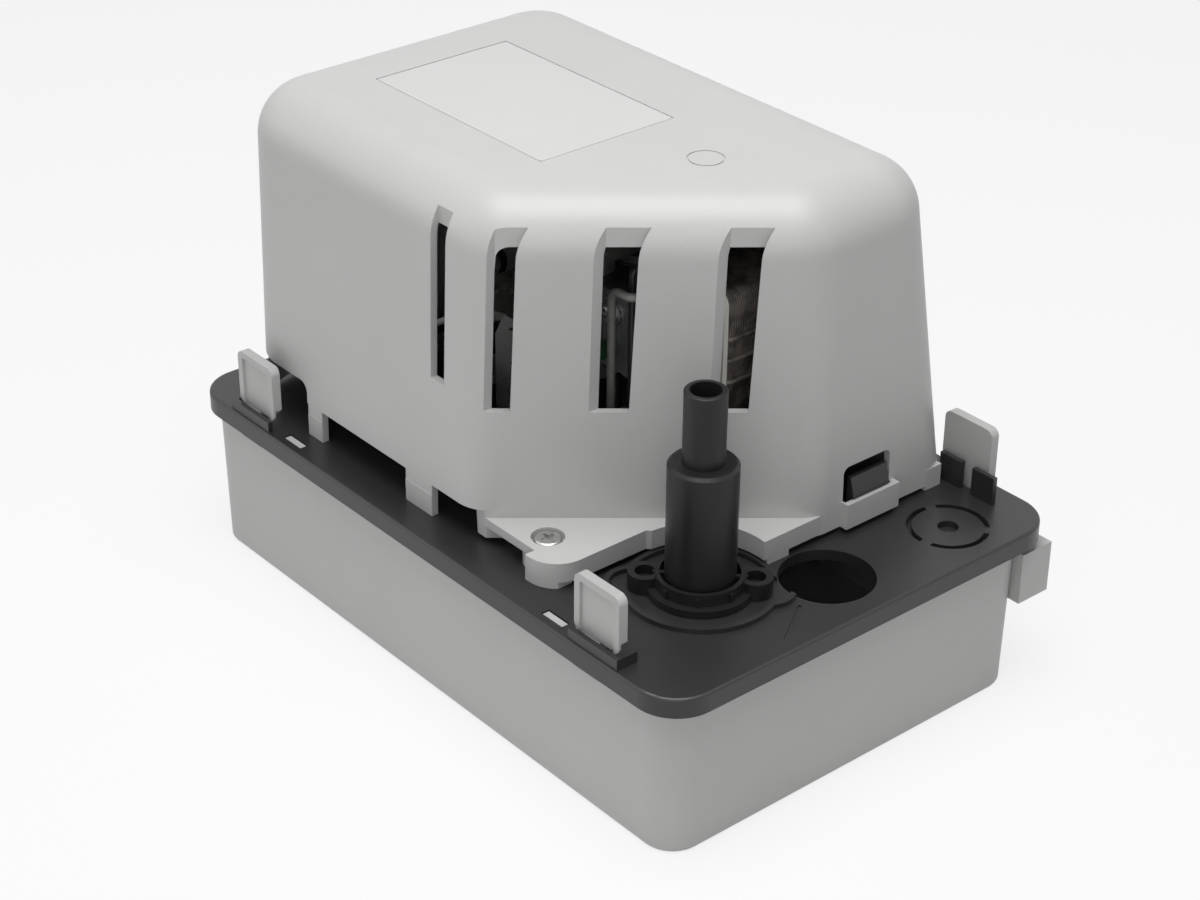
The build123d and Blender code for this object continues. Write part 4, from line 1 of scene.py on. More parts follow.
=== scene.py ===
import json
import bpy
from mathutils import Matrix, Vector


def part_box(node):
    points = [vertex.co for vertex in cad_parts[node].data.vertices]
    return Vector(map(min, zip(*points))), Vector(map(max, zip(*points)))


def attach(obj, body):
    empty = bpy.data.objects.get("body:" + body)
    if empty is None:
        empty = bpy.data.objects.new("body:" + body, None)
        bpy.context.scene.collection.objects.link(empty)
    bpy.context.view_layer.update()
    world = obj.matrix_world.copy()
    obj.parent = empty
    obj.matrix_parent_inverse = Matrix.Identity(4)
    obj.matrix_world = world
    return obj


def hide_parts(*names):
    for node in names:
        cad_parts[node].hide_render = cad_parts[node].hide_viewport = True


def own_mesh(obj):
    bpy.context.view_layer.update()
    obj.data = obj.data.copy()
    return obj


bl_info = {
    "name": "Condensate pump finish",
    "version": (1, 0, 0),
    "blender": (4, 5, 0),
    "location": "3D View > Sidebar > Pump",
    "description": "Finishes, fine pieces and studio for a tank-type condensate pump",
    "category": "Object",
}

from math import cos, radians, sin

import bpy
from bpy.props import FloatProperty, FloatVectorProperty, IntProperty, PointerProperty
from mathutils import Matrix, Vector

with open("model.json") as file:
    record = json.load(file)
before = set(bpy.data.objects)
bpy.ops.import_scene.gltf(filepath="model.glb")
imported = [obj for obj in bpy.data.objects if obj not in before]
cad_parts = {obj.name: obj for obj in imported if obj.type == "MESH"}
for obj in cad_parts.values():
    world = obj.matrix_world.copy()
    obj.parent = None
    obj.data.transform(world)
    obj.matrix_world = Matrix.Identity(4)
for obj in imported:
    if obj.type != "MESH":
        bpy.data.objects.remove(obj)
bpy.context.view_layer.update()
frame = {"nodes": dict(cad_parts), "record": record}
MM = 0.001
WAVE_PERIOD = 0.314159      # of a wave texture at scale 1
CORNER_STEPS = 5            # points in a ring's rounded corner
WHITE = (1, 1, 1, 1)
FLOOR_GREY = (0.8, 0.8, 0.8, 1)
SENSOR = 36.0               # width in millimetres
LAMP_TARGET = (0, 0, 0.08)
SOFTBOXES = (               # name, place and side in metres
    ("overhead", (0.1, -0.1, 0.8), 0.55),
    ("left", (-0.9, -1.0, 0.55), 0.8),
    ("right", (0.85, -0.95, 0.55), 0.8),
)


# ---------------------------------------------------------------- shader building
class Value:
    """A number socket that Python's arithmetic turns into Math nodes."""

    def __init__(self, finish, socket):
        self.finish = finish
        self.socket = socket

    def math(self, operation, *others):
        """The result of one Math node on this value and the others."""
        node = self.finish.node("ShaderNodeMath", {"operation": operation},
                                {0: self, **dict(enumerate(others, 1))})
        return Value(self.finish, node.outputs[0])

    def reflected(self, operation, other):
        """The same with the other operand first."""
        node = self.finish.node("ShaderNodeMath", {"operation": operation}, {0: other, 1: self})
        return Value(self.finish, node.outputs[0])

    def __add__(self, other):
        return self.math("ADD", other)

    def __radd__(self, other):
        return self.reflected("ADD", other)

    def __sub__(self, other):
        return self.math("SUBTRACT", other)

    def __rsub__(self, other):
        return self.reflected("SUBTRACT", other)

    def __mul__(self, other):
        return self.math("MULTIPLY", other)

    def __rmul__(self, other):
        return self.reflected("MULTIPLY", other)

    def smooth(self, low, high):
        """0 below low, 1 above high, and a smooth step between them."""
        node = self.finish.node("ShaderNodeMapRange", {"interpolation_type": "SMOOTHSTEP"},
                                {"Value": self, "From Min": low, "From Max": high})
        return Value(self.finish, node.outputs[0])


class Finish:
    """A node material on Object coordinates, with one Principled shader."""

    def __init__(self, name, **sockets):
        self.material = bpy.data.materials.new(name)
        self.material.use_nodes = True
        self.tree = self.material.node_tree
        self.tree.nodes.clear()
        self.shader = self.node("ShaderNodeBsdfPrincipled", {}, sockets)
        output = self.node("ShaderNodeOutputMaterial", {}, {})
        self.tree.links.new(self.shader.outputs[0], output.inputs["Surface"])
        self.place = self.node("ShaderNodeTexCoord", {}, {}).outputs["Object"]

    def node(self, kind, settings, inputs):
        """A node of that kind: its settings first, then a value or a link for each socket named."""
        made = self.tree.nodes.new(kind)
        for name, value in settings.items():
            setattr(made, name, value)
        for name, value in inputs.items():
            value = value.socket if isinstance(value, Value) else value
            if isinstance(value, bpy.types.NodeSocket):
                self.tree.links.new(value, made.inputs[name])
            else:
                made.inputs[name].default_value = value
        return made

    def noise(self, size, detail=3.0, rough=0.5, stretch=(1, 1, 1), seed=0.0):
        """Noise from 0 to 1 with features of about that size in metres, longer where stretch is above 1."""
        scale = [1 / (size * s) for s in stretch]
        place = self.node("ShaderNodeMapping", {}, {"Vector": self.place, "Scale": scale,
                                                    "Location": (seed, seed * 0.7, seed * 1.3)})
        made = self.node("ShaderNodeTexNoise", {}, {"Vector": place.outputs[0], "Scale": 1.0,
                                                    "Detail": detail, "Roughness": rough})
        return Value(self, made.outputs[0])

    def bands(self, pitch, axis):
        """A sine from 0 to 1 across the given axis, one band each pitch."""
        made = self.node("ShaderNodeTexWave", {"wave_type": "BANDS", "bands_direction": axis},
                         {"Vector": self.place, "Scale": WAVE_PERIOD / pitch, "Distortion": 0.0})
        return Value(self, made.outputs["Fac"])

    def blend(self, factor, first, second):
        """The colour between two colours."""
        made = self.node("ShaderNodeMix", {"data_type": "RGBA"}, {0: factor, 6: first, 7: second})
        return made.outputs[2]

    def set(self, **links):
        """Links values or colours to the shader's sockets, named with _ for a space."""
        for name, value in links.items():
            value = value.socket if isinstance(value, Value) else value
            self.tree.links.new(value, self.shader.inputs[name.replace("_", " ").title()])

    def bump(self, height, depth):
        """Bends the normal as if height, from 0 to 1, were depth metres deep."""
        made = self.node("ShaderNodeBump", {}, {"Height": height, "Distance": depth, "Strength": 1.0})
        self.tree.links.new(made.outputs[0], self.shader.inputs["Normal"])


def shade(colour, factor):
    """A colour made lighter or darker, with its alpha."""
    return (*[min(1.0, c * factor) for c in colour], 1.0)


# ---------------------------------------------------------------- finishes
def moulded_plastic(name, colour, roughness, grain=0.35 * MM, depth=0.012 * MM, mottle=0.05, **sockets):
    """Moulded plastic: a spark-eroded grain, faint flow marks and handling marks in the gloss."""
    f = Finish(name, **sockets)
    clouds = f.noise(28 * MM, 4.0)
    fine = f.noise(grain, 2.0)
    scuffs = f.noise(7 * MM, 5.0, 0.7, stretch=(3, 1, 1), seed=4.0).smooth(0.58, 0.75)
    colour_mask = clouds * 0.8 + fine * 0.2
    f.set(base_color=f.blend(colour_mask, shade(colour, 1 - mottle), shade(colour, 1 + mottle)),
          roughness=roughness + (clouds - 0.5) * 0.1 - scuffs * 0.08 + (fine - 0.5) * 0.08)
    f.bump(fine, depth)
    return f.material


def bare_label(name, colour):
    """Blank film: smooth, a little glossier than the cover, with faint rolling marks."""
    f = Finish(name, **{"Coat Roughness": 0.25})
    clouds = f.noise(15 * MM, 3.0)
    weave = f.noise(0.6 * MM, 2.0, stretch=(4, 1, 1))
    f.set(base_color=f.blend(clouds, shade(colour, 0.97), shade(colour, 1.03)),
          roughness=0.45 + (clouds - 0.5) * 0.08)
    f.bump(weave, 0.004 * MM)
    return f.material


def plated_steel(name, colour, roughness=0.32):
    """Zinc plating: cloudy crystals with small scratches."""
    f = Finish(name, Metallic=1.0)
    clouds = f.noise(1.6 * MM, 4.0)
    scratches = f.noise(0.5 * MM, 3.0, stretch=(10, 1, 1))
    f.set(base_color=f.blend(clouds, shade(colour, 0.82), shade(colour, 1.1)),
          roughness=roughness + (clouds - 0.5) * 0.2 + (scratches - 0.5) * 0.1)
    f.bump(scratches, 0.004 * MM)
    return f.material


def turned_steel(name, colour):
    """Ground shaft steel with rings round its upright axis."""
    f = Finish(name, Metallic=1.0)
    rings = f.noise(0.25 * MM, 2.0, stretch=(40, 40, 1))
    f.set(base_color=f.blend(rings, shade(colour, 0.88), shade(colour, 1.08)),
          roughness=0.2 + rings * 0.12)
    f.bump(rings, 0.002 * MM)
    return f.material


def laminated_steel(name, colour, pitch):
    """Sheets of electrical steel on edge: dark joints, each sheet with its own tone and a little rust."""
    f = Finish(name, Metallic=0.85)
    joints = f.bands(pitch, "Z").smooth(0.05, 0.35)
    sheets = f.noise(pitch, 0.0, stretch=(80, 80, 1))
    rust = f.noise(5 * MM, 5.0, 0.65, seed=2.0).smooth(0.6, 0.72)
    clean = f.blend(joints, shade(colour, 0.35), shade(colour, 1.1))
    toned = f.blend(sheets * 0.5, clean, shade(colour, 0.7))
    f.set(base_color=f.blend(rust * 0.5, toned, (0.12, 0.055, 0.025, 1.0)),
          roughness=0.42 + rust * 0.3 + (sheets - 0.5) * 0.1)
    f.bump(joints, 0.05 * MM)
    return f.material


def lacquered_copper(name, colour):
    """Copper under a thin clear lacquer, with slow changes of tone."""
    f = Finish(name, Metallic=0.5, **{"Coat Weight": 0.4, "Coat Roughness": 0.2})
    clouds = f.noise(3 * MM, 3.0)
    f.set(base_color=f.blend(clouds, shade(colour, 0.7), shade(colour, 1.15)),
          roughness=0.28 + clouds * 0.15)
    f.bump(f.noise(0.4 * MM), 0.006 * MM)
    return f.material


def varnished_wire(name, colour):
    """Wire and lacing in varnish, its dark colour partly painted shade for the unlit inside of the cover:
    uneven gloss, thicker and darker where it has pooled.
    """
    f = Finish(name, **{"Specular IOR Level": 0.4})
    pools = f.noise(3.5 * MM, 4.0).smooth(0.4, 0.65)
    skin = f.noise(0.5 * MM, 2.0)
    f.set(base_color=f.blend(pools, shade(colour, 1.5), shade(colour, 0.6)),
          roughness=0.45 - pools * 0.15 + (skin - 0.5) * 0.1)
    f.bump(skin, 0.012 * MM)
    return f.material


def sintered_bronze(name, colour):
    """Pressed and sintered bronze: matt pores and oil in the hollows."""
    f = Finish(name, Metallic=0.9)
    pores = f.noise(0.25 * MM, 2.0).smooth(0.42, 0.6)
    oil = f.noise(3 * MM, 3.0)
    f.set(base_color=f.blend(pores, shade(colour, 0.45), shade(colour, 1.05)),
          roughness=0.35 + oil * 0.25)
    f.bump(pores, 0.02 * MM)
    return f.material


def cast_alloy(name, colour):
    """Die-cast zinc-aluminium: a fine orange skin and flow lines."""
    f = Finish(name, Metallic=0.9)
    skin = f.noise(0.7 * MM, 3.0)
    flow = f.noise(6 * MM, 4.0, stretch=(1, 3, 1))
    f.set(base_color=f.blend(flow, shade(colour, 0.8), shade(colour, 1.08)),
          roughness=0.42 + (flow - 0.5) * 0.2)
    f.bump(skin, 0.015 * MM)
    return f.material


def soft_rubber(name, colour):
    """Black rubber with a bloom that greys it in patches."""
    f = Finish(name, **{"Specular IOR Level": 0.35})
    bloom = f.noise(4 * MM, 4.0).smooth(0.45, 0.75)
    skin = f.noise(0.4 * MM)
    f.set(base_color=f.blend(bloom, shade(colour, 0.8), shade(colour, 1.9)),
          roughness=0.62 + (skin - 0.5) * 0.15 + bloom * 0.1)
    f.bump(skin, 0.015 * MM)
    return f.material


def wire_insulation(name, colour):
    """Extruded insulation: smooth, with a slight waxy bloom and small dents."""
    f = Finish(name, **{"Coat Roughness": 0.3, "Specular IOR Level": 0.4})
    bloom = f.noise(2.5 * MM, 3.0)
    dents = f.noise(1.2 * MM, 2.0, seed=7.0)
    f.set(base_color=f.blend(bloom, shade(colour, 0.85), shade(colour, 1.2)),
          roughness=0.38 + (bloom - 0.5) * 0.15)
    f.bump(dents, 0.02 * MM)
    return f.material


def foam_skin(name, colour):
    """The closed skin of a moulded float, with its small cells showing."""
    f = Finish(name)
    cells = f.noise(0.9 * MM, 2.0).smooth(0.35, 0.65)
    clouds = f.noise(12 * MM, 3.0)
    f.set(base_color=f.blend(clouds * 0.6 + cells * 0.4, shade(colour, 0.9), shade(colour, 1.06)),
          roughness=0.55 + (cells - 0.5) * 0.15)
    f.bump(cells, 0.03 * MM)
    return f.material


def finish_for(slot, colours, sizes):
    """The material of one of the record's slots."""
    makers = {
        "cover_plastic": lambda n: moulded_plastic(n, colours.cover, 0.42, grain=0.5 * MM, depth=0.018 * MM),
        "tank_plastic": lambda n: moulded_plastic(n, colours.tank, 0.45),
        "lid_plastic": lambda n: moulded_plastic(n, colours.lid, 0.36, mottle=0.1),
        "outlet_plastic": lambda n: moulded_plastic(n, colours.outlet, 0.4, grain=0.22 * MM, mottle=0.14,
                                                    **{"Specular IOR Level": 0.3}),
        "label_film": lambda n: bare_label(n, colours.label),
        "zinc_steel": lambda n: plated_steel(n, colours.steel),
        "shaft_steel": lambda n: turned_steel(n, colours.steel),
        "lamination_steel": lambda n: laminated_steel(n, colours.lamination, sizes.lamination),
        "die_cast": lambda n: cast_alloy(n, colours.steel),
        "bronze": lambda n: sintered_bronze(n, colours.bronze),
        "copper": lambda n: lacquered_copper(n, colours.copper),
        # The winding's dark colour is partly painted shade for the inside of the cover
        "winding_tape": lambda n: varnished_wire(n, colours.varnish_and_shade),
        "white_nylon": lambda n: moulded_plastic(n, colours.nylon, 0.4, mottle=0.04),
        "switch_plastic": lambda n: moulded_plastic(n, colours.switch, 0.3, mottle=0.15),
        "red_plastic": lambda n: moulded_plastic(n, colours.button, 0.25, mottle=0.08),
        "black_rubber": lambda n: soft_rubber(n, colours.rubber),
        "float_foam": lambda n: foam_skin(n, colours.float_skin),
        "lead_green": lambda n: wire_insulation(n, colours.earth),
        "lead_white": lambda n: wire_insulation(n, colours.neutral),
        "lead_black": lambda n: wire_insulation(n, colours.live),
    }
    return makers[slot](slot)


# ---------------------------------------------------------------- geometry node trees
class Tree:
    """A Geometry Nodes tree with named inputs."""

    def __init__(self, name, **inputs):
        self.tree = bpy.data.node_groups.new(name, "GeometryNodeTree")
        self.names = {}
        for label, (kind, default) in inputs.items():
            socket = self.tree.interface.new_socket(name=label, in_out="INPUT", socket_type=kind)
            if default is not None:
                socket.default_value = default
            self.names[label] = socket.identifier
        self.tree.interface.new_socket(name="Geometry", in_out="OUTPUT", socket_type="NodeSocketGeometry")
        self.given = self.tree.nodes.new("NodeGroupInput")
        self.result = self.tree.nodes.new("NodeGroupOutput")

    def input(self, label):
        """The socket that brings one of the tree's inputs."""
        return self.given.outputs[label]

    def node(self, kind, settings=None, inputs=None):
        """A node of that kind: its settings first, then a value or a link for each socket."""
        made = self.tree.nodes.new(kind)
        for name, value in (settings or {}).items():
            setattr(made, name, value)
        for name, value in (inputs or {}).items():
            if isinstance(value, bpy.types.NodeSocket):
                self.tree.links.new(value, made.inputs[name])
            else:
                made.inputs[name].default_value = value
        return made.outputs[0]

    def finish(self, geometry, material):
        """Ends the tree in real geometry with its material."""
        real = self.node("GeometryNodeRealizeInstances", inputs={"Geometry": geometry})
        painted = self.node("GeometryNodeSetMaterial", inputs={"Geometry": real, "Material": material})
        self.tree.links.new(painted, self.result.inputs["Geometry"])


def bake(name, tree, values):
    """An object whose plain mesh is what the tree makes of those values."""
    seed_mesh = bpy.data.meshes.new(name + "_seed")
    host = bpy.data.objects.new(name + "_seed", seed_mesh)
    bpy.context.scene.collection.objects.link(host)
    modifier = host.modifiers.new("nodes", "NODES")
    modifier.node_group = tree.tree
    for label, value in values.items():
        modifier[tree.names[label]] = value
    graph = bpy.context.evaluated_depsgraph_get()
    mesh = bpy.data.meshes.new_from_object(host.evaluated_get(graph))
    mesh.name = name
    bpy.data.objects.remove(host)
    piece = bpy.data.objects.new(name, mesh)
    bpy.context.scene.collection.objects.link(piece)
    return piece


def finish_of(node):
    """The material that a node of the frame wears."""
    return frame["nodes"][node].data.materials[0]


def ring_stack_tree(material):
    """Rounded rectangular rings of round wire, stacked along an axis."""
    length = ("NodeSocketFloat", 0.01)
    tree = Tree("ring_stack", Centre=("NodeSocketVector", None), Turn=("NodeSocketVector", None),
                Width=length, Height=length, Corner=length, Wire=length, Step=("NodeSocketVector", None),
                Count=("NodeSocketInt", 10), Sides=("NodeSocketInt", 8))
    outline = tree.node("GeometryNodeCurvePrimitiveQuadrilateral", {"mode": "RECTANGLE"},
                        {"Width": tree.input("Width"), "Height": tree.input("Height")})
    rounded = tree.node("GeometryNodeFilletCurve", {"mode": "POLY"},
                        {"Curve": outline, "Radius": tree.input("Corner"), "Count": CORNER_STEPS})
    section = tree.node("GeometryNodeCurvePrimitiveCircle", {"mode": "RADIUS"},
                        {"Resolution": tree.input("Sides"), "Radius": tree.input("Wire")})
    ring = tree.node("GeometryNodeCurveToMesh", {}, {"Curve": rounded, "Profile Curve": section})
    line = tree.node("GeometryNodeMeshLine", {"mode": "OFFSET"},
                     {"Count": tree.input("Count"), "Start Location": tree.input("Centre"),
                      "Offset": tree.input("Step")})
    rings = tree.node("GeometryNodeInstanceOnPoints", {},
                      {"Points": line, "Instance": ring, "Rotation": tree.input("Turn")})
    smooth = tree.node("GeometryNodeSetShadeSmooth", {}, {"Geometry": rings})
    tree.finish(smooth, material)
    return tree


def spring_tree(material):
    """A coil spring of round wire that rises from its lower end."""
    length = ("NodeSocketFloat", 0.01)
    tree = Tree("spring", Foot=("NodeSocketVector", None), Radius=length, Height=length, Wire=length,
                Turns=("NodeSocketFloat", 5.0), Steps=("NodeSocketInt", 24), Sides=("NodeSocketInt", 8))
    coil = tree.node("GeometryNodeCurveSpiral", {},
                     {"Resolution": tree.input("Steps"), "Rotations": tree.input("Turns"),
                      "Start Radius": tree.input("Radius"), "End Radius": tree.input("Radius"),
                      "Height": tree.input("Height")})
    section = tree.node("GeometryNodeCurvePrimitiveCircle", {"mode": "RADIUS"},
                        {"Resolution": tree.input("Sides"), "Radius": tree.input("Wire")})
    wound = tree.node("GeometryNodeCurveToMesh", {},
                      {"Curve": coil, "Profile Curve": section, "Fill Caps": True})
    placed = tree.node("GeometryNodeTransform", {}, {"Geometry": wound, "Translation": tree.input("Foot")})
    smooth = tree.node("GeometryNodeSetShadeSmooth", {}, {"Geometry": placed})
    tree.finish(smooth, material)
    return tree


# ---------------------------------------------------------------- settings
def colour_property(name, description, default):
    """A colour setting in linear values."""
    return FloatVectorProperty(name=name, description=description, subtype="COLOR", size=3,
                               default=default, min=0.0, max=1.0)


class PumpColours(bpy.types.PropertyGroup):
    """Colours of the pump's materials."""
    cover: colour_property("Cover", "Motor cover", (0.5, 0.5, 0.495))
    tank: colour_property("Tank", "Tank and its clips", (0.46, 0.46, 0.455))
    lid: colour_property("Lid", "Lid and the pump under it", (0.021, 0.021, 0.022))
    outlet: colour_property("Outlet", "Discharge valve and hose tube", (0.013, 0.013, 0.014))
    label: colour_property("Label", "Blank label", (0.55, 0.55, 0.545))
    steel: colour_property("Steel", "Plated and ground steel", (0.62, 0.62, 0.61))
    lamination: colour_property("Laminations", "Electrical steel sheets", (0.34, 0.34, 0.35))
    bronze: colour_property("Bronze", "Sintered bearings", (0.5, 0.34, 0.16))
    copper: colour_property("Copper", "Shading rings", (0.42, 0.2, 0.11))
    # Varnish colour made darker than the varnish itself: painted shade for the unlit inside of the cover
    varnish_and_shade: colour_property("Varnish", "Winding soaked in dark varnish", (0.085, 0.074, 0.066))
    nylon: colour_property("Nylon", "Natural nylon pieces", (0.68, 0.67, 0.62))
    switch: colour_property("Switch", "Switch cases", (0.025, 0.025, 0.025))
    button: colour_property("Button", "Switch plungers", (0.45, 0.04, 0.03))
    rubber: colour_property("Rubber", "Seals, grommets and bush", (0.025, 0.025, 0.025))
    float_skin: colour_property("Float", "Moulded float", (0.6, 0.6, 0.56))
    earth: colour_property("Earth lead", "Insulation of the earth lead", (0.02, 0.1, 0.035))
    neutral: colour_property("Neutral lead", "Insulation of the neutral lead", (0.24, 0.24, 0.23))
    live: colour_property("Live leads", "Insulation of the supply and switched leads", (0.02, 0.02, 0.02))


class PumpSizes(bpy.types.PropertyGroup):
    """Sizes of the pump's fine pieces."""
    lamination: FloatProperty(name="Sheet", description="Thickness of a steel sheet", default=0.5 * MM,
                              unit="LENGTH")
    wire: FloatProperty(name="Wire", description="Diameter of the winding's wire", default=0.8 * MM,
                        unit="LENGTH")
    wire_sides: IntProperty(name="Wire sides", description="Facets round the wire", default=8, min=3)
    wound: FloatProperty(name="Wound", description="Thickness of the winding", default=7.0 * MM,
                         unit="LENGTH")
    wound_corner: FloatProperty(name="Wound corner", description="Corner radius of the winding's turns",
                                default=5.0 * MM, unit="LENGTH")
    spring_wire: FloatProperty(name="Spring wire", description="Diameter of the valve spring's wire",
                               default=0.7 * MM, unit="LENGTH")
    spring_turns: FloatProperty(name="Spring turns", description="Turns of the valve spring", default=5.0)
    poppet_lift: FloatProperty(name="Poppet lift", description="How far the poppet presses the spring",
                               default=3.0 * MM, unit="LENGTH")
    lacing: FloatProperty(name="Lacing", description="Diameter of the winding's lacing cord",
                          default=1.3 * MM, unit="LENGTH")
    lacing_corner: FloatProperty(name="Lacing corner", description="Corner radius of a turn of lacing",
                                 default=1.5 * MM, unit="LENGTH")
    lacing_step: FloatProperty(name="Lacing step", description="Distance between turns of lacing",
                               default=6.0 * MM, unit="LENGTH")


class PumpStudio(bpy.types.PropertyGroup):
    """Camera, floor and lights."""
    azimuth: FloatProperty(name="Azimuth", description="Camera turn from the front", subtype="ANGLE",
                           default=radians(49.68))
    elevation: FloatProperty(name="Elevation", description="Camera angle above the floor", subtype="ANGLE",
                             default=radians(30.15))
    roll: FloatProperty(name="Roll", description="Camera turn about its own axis", subtype="ANGLE",
                        default=radians(0.47))
    station: FloatVectorProperty(name="Station", description="Where the camera stands",
                                 subtype="TRANSLATION",
                                 default=(463.76 * MM, -396.44 * MM, 402.30 * MM))
    lens: FloatProperty(name="Lens", description="Focal length in millimetres", default=77.70)
    floor: FloatProperty(name="Floor", description="Half the floor's side", default=4.0, unit="LENGTH")
    floor_glow: FloatProperty(name="Floor glow", description="How far the floor shows as plain white",
                              subtype="FACTOR", default=0.8, min=0.0, max=1.0)
    sky: FloatProperty(name="Sky", description="Strength of the even light", default=0.2)
    overhead: FloatProperty(name="Overhead", description="Watts of the overhead softbox", default=5.5)
    left: FloatProperty(name="Left", description="Watts of the left softbox", default=2.0)
    right: FloatProperty(name="Right", description="Watts of the right softbox", default=2.6)


# ---------------------------------------------------------------- operators
class PUMP_OT_finishes(bpy.types.Operator):
    """Gives every node of the pump the material of its slot"""
    bl_idname = "pump.finishes"
    bl_label = "Finish the moulded and metal pieces"

    def execute(self, context):
        scene = context.scene
        materials = {}
        for row in frame["record"]["subparts"]:
            slot = row["material_slot"]
            if slot not in materials:
                materials[slot] = finish_for(slot, scene.pump_colours, scene.pump_sizes)
            mesh = frame["nodes"][row["node"]].data
            mesh.materials.clear()
            mesh.materials.append(materials[slot])
        return {"FINISHED"}


class PUMP_OT_winding(bpy.types.Operator):
    """Lays the outer turns of wire over the motor's winding"""
    bl_idname = "pump.winding"
    bl_label = "Wind the motor coil"

    def execute(self, context):
        sizes = context.scene.pump_sizes
        low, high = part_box("coil_winding")
        radius = sizes.wire / 2
        tree = ring_stack_tree(finish_of("coil_winding"))
        piece = bake("winding_turns", tree, {
            "Centre": ((low.x + high.x) / 2, low.y + radius, (low.z + high.z) / 2),
            "Turn": (radians(90), 0.0, 0.0),
            "Width": high.x - low.x,
            "Height": high.z - low.z,
            "Corner": sizes.wound_corner,
            "Wire": radius,
            "Step": (0.0, sizes.wire, 0.0),
            "Count": int((high.y - low.y - sizes.wire) / sizes.wire) + 1,
            "Sides": sizes.wire_sides,
        })
        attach(piece, "base")
        return {"FINISHED"}


class PUMP_OT_lacing(bpy.types.Operator):
    """Ties lacing cord round the outer leg of the motor's winding"""
    bl_idname = "pump.lacing"
    bl_label = "Lace the motor coil"

    def execute(self, context):
        sizes = context.scene.pump_sizes
        low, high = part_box("coil_winding")
        spare = sizes.wire / 2
        turns = int((high.z - low.z - 2 * sizes.wound) / sizes.lacing_step)
        tree = ring_stack_tree(finish_of("coil_winding"))
        piece = bake("winding_lacing", tree, {
            "Centre": (high.x - sizes.wound / 2 + spare, (low.y + high.y) / 2,
                       (low.z + high.z - (turns - 1) * sizes.lacing_step) / 2),
            "Width": sizes.wound + sizes.lacing / 2,
            "Height": high.y - low.y,
            "Corner": sizes.lacing_corner,
            "Wire": sizes.lacing / 2,
            "Step": (0.0, 0.0, sizes.lacing_step),
            "Count": turns,
            "Sides": sizes.wire_sides,
        })
        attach(piece, "base")
        return {"FINISHED"}


class PUMP_OT_valve_spring(bpy.types.Operator):
    """Winds the valve's spring"""
    bl_idname = "pump.valve_spring"
    bl_label = "Wind the valve spring"

    def execute(self, context):
        sizes = context.scene.pump_sizes
        low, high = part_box("valve_spring")
        wire = sizes.spring_wire / 2
        height = high.z - low.z
        middle = ((low.x + high.x) / 2, (low.y + high.y) / 2)
        piece = bake("spring_coil", spring_tree(finish_of("valve_spring")), {
            "Foot": (*middle, low.z + wire),
            "Radius": (high.x - low.x) / 2 - wire,
            "Height": height - 2 * wire,
            "Wire": wire,
            "Turns": sizes.spring_turns,
        })
        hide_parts("valve_spring")
        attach(piece, "check_valve")
        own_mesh(piece)
        return {"FINISHED"}


def seen_directly(tree, share):
    """A socket worth share for camera, mirror and glass rays, and 0 for the rays that light the object."""
    rays = tree.nodes.new("ShaderNodeLightPath")
    either = rays.outputs["Is Camera Ray"]
    for name in ("Is Glossy Ray", "Is Transmission Ray"):
        larger = tree.nodes.new("ShaderNodeMath")
        larger.operation = "MAXIMUM"
        tree.links.new(either, larger.inputs[0])
        tree.links.new(rays.outputs[name], larger.inputs[1])
        either = larger.outputs[0]
    part = tree.nodes.new("ShaderNodeMath")
    part.operation = "MULTIPLY"
    tree.links.new(either, part.inputs[0])
    part.inputs[1].default_value = share
    return part.outputs[0]


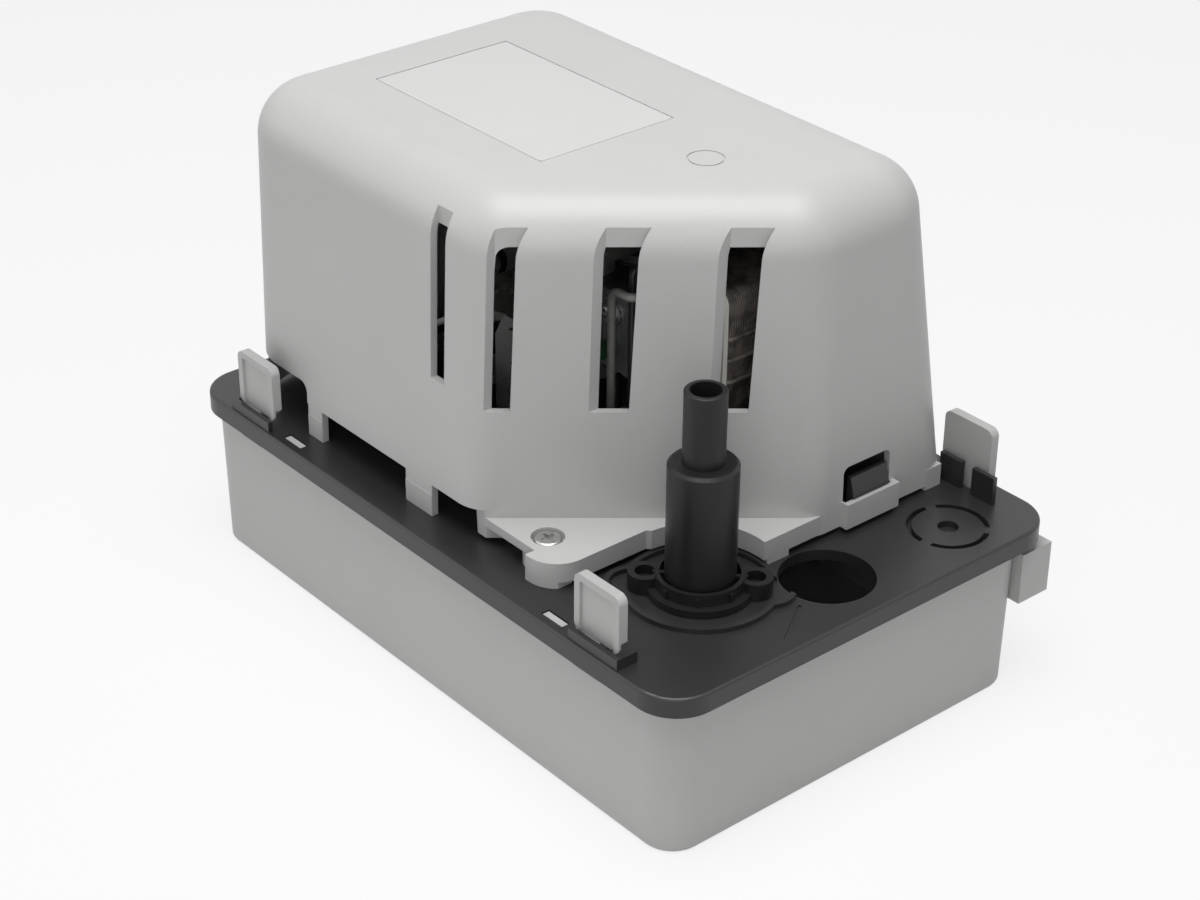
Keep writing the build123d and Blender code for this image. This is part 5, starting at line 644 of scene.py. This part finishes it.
class PUMP_OT_studio(bpy.types.Operator):
    """Sets up the floor, the even light, three softboxes and the camera"""
    bl_idname = "pump.studio"
    bl_label = "Set up the studio"

    def execute(self, context):
        studio = context.scene.pump_studio
        self.make_floor(studio.floor, studio.floor_glow)
        self.make_sky(context.scene, studio.sky)
        for name, place, side in SOFTBOXES:
            self.make_softbox(name + "_softbox", place, LAMP_TARGET, side, getattr(studio, name))
        self.make_camera(context.scene, studio)
        return {"FINISHED"}

    def make_floor(self, half, glow_share):
        """A pale floor that shows white and keeps a soft shadow."""
        mesh = bpy.data.meshes.new("floor")
        corners = [(-half, -half, 0), (half, -half, 0), (half, half, 0), (-half, half, 0)]
        mesh.from_pydata(corners, [], [(0, 1, 2, 3)])
        floor = bpy.data.objects.new("floor", mesh)
        bpy.context.scene.collection.objects.link(floor)
        material = bpy.data.materials.new("floor")
        material.use_nodes = True
        tree = material.node_tree
        tree.nodes.clear()
        matt = tree.nodes.new("ShaderNodeBsdfDiffuse")
        matt.inputs["Color"].default_value = FLOOR_GREY
        glow = tree.nodes.new("ShaderNodeEmission")
        mix = tree.nodes.new("ShaderNodeMixShader")
        output = tree.nodes.new("ShaderNodeOutputMaterial")
        tree.links.new(seen_directly(tree, glow_share), mix.inputs[0])
        tree.links.new(matt.outputs[0], mix.inputs[1])
        tree.links.new(glow.outputs[0], mix.inputs[2])
        tree.links.new(mix.outputs[0], output.inputs["Surface"])
        mesh.materials.append(material)

    def make_sky(self, scene, strength):
        """Even light that shows as white in itself and in reflections."""
        world = bpy.data.worlds.new("sky")
        scene.world = world
        world.use_nodes = True
        tree = world.node_tree
        tree.nodes.clear()
        lit = tree.nodes.new("ShaderNodeBackground")
        lit.inputs["Color"].default_value = WHITE
        lit.inputs["Strength"].default_value = strength
        white = tree.nodes.new("ShaderNodeBackground")
        white.inputs["Color"].default_value = WHITE
        white.inputs["Strength"].default_value = 1.0
        mix = tree.nodes.new("ShaderNodeMixShader")
        output = tree.nodes.new("ShaderNodeOutputWorld")
        tree.links.new(seen_directly(tree, 1.0), mix.inputs[0])
        tree.links.new(lit.outputs[0], mix.inputs[1])
        tree.links.new(white.outputs[0], mix.inputs[2])
        tree.links.new(mix.outputs[0], output.inputs["Surface"])

    def make_softbox(self, name, place, target, size, watts):
        """A square area lamp aimed at a point."""
        lamp = bpy.data.lights.new(name, "AREA")
        lamp.shape = "SQUARE"
        lamp.size = size
        lamp.energy = watts
        box = bpy.data.objects.new(name, lamp)
        bpy.context.scene.collection.objects.link(box)
        box.location = place
        box.rotation_euler = (Vector(target) - Vector(place)).to_track_quat("-Z", "Y").to_euler()

    def make_camera(self, scene, studio):
        """The camera, from its station, its two angles and its roll."""
        turn, tilt, roll = studio.azimuth, studio.elevation, studio.roll
        back = Vector((sin(turn) * cos(tilt), -cos(turn) * cos(tilt), sin(tilt)))
        right = Vector((cos(turn), sin(turn), 0))
        up = back.cross(right)
        right, up = (cos(roll) * right + sin(roll) * up, cos(roll) * up - sin(roll) * right)
        camera = bpy.data.objects.new("camera", bpy.data.cameras.new("camera"))
        camera.data.lens = studio.lens
        camera.data.sensor_width = SENSOR
        facing = Matrix((right, up, back)).transposed().to_4x4()
        camera.matrix_world = Matrix.Translation(studio.station) @ facing
        scene.collection.objects.link(camera)
        scene.camera = camera
        scene.view_settings.view_transform = "Standard"


class PUMP_PT_panel(bpy.types.Panel):
    """The pump's settings and its steps in order"""
    bl_idname = "PUMP_PT_panel"
    bl_label = "Condensate pump"
    bl_space_type = "VIEW_3D"
    bl_region_type = "UI"
    bl_category = "Pump"

    def draw(self, context):
        for title, settings in (("Colours", context.scene.pump_colours), ("Sizes", context.scene.pump_sizes),
                                ("Studio", context.scene.pump_studio)):
            box = self.layout.box()
            box.label(text=title)
            for name in settings.bl_rna.properties.keys():
                if name not in ("rna_type", "name"):
                    box.prop(settings, name)
        for operator in OPERATORS:
            self.layout.operator(operator.bl_idname)


OPERATORS = (PUMP_OT_finishes, PUMP_OT_winding, PUMP_OT_lacing, PUMP_OT_valve_spring,
             PUMP_OT_studio)
CLASSES = (PumpColours, PumpSizes, PumpStudio, *OPERATORS, PUMP_PT_panel)


def register():
    """Registers the classes and the settings they keep on a scene."""
    for item in CLASSES:
        bpy.utils.register_class(item)
    bpy.types.Scene.pump_colours = PointerProperty(type=PumpColours)
    bpy.types.Scene.pump_sizes = PointerProperty(type=PumpSizes)
    bpy.types.Scene.pump_studio = PointerProperty(type=PumpStudio)


def unregister():
    """Takes away what register added."""
    del bpy.types.Scene.pump_colours
    del bpy.types.Scene.pump_sizes
    del bpy.types.Scene.pump_studio
    for item in reversed(CLASSES):
        bpy.utils.unregister_class(item)


def main():
    """Runs every step in order."""
    register()
    bpy.ops.pump.finishes()
    bpy.ops.pump.winding()
    bpy.ops.pump.lacing()
    bpy.ops.pump.valve_spring()
    bpy.ops.pump.studio()


if __name__ == "__main__":
    main()
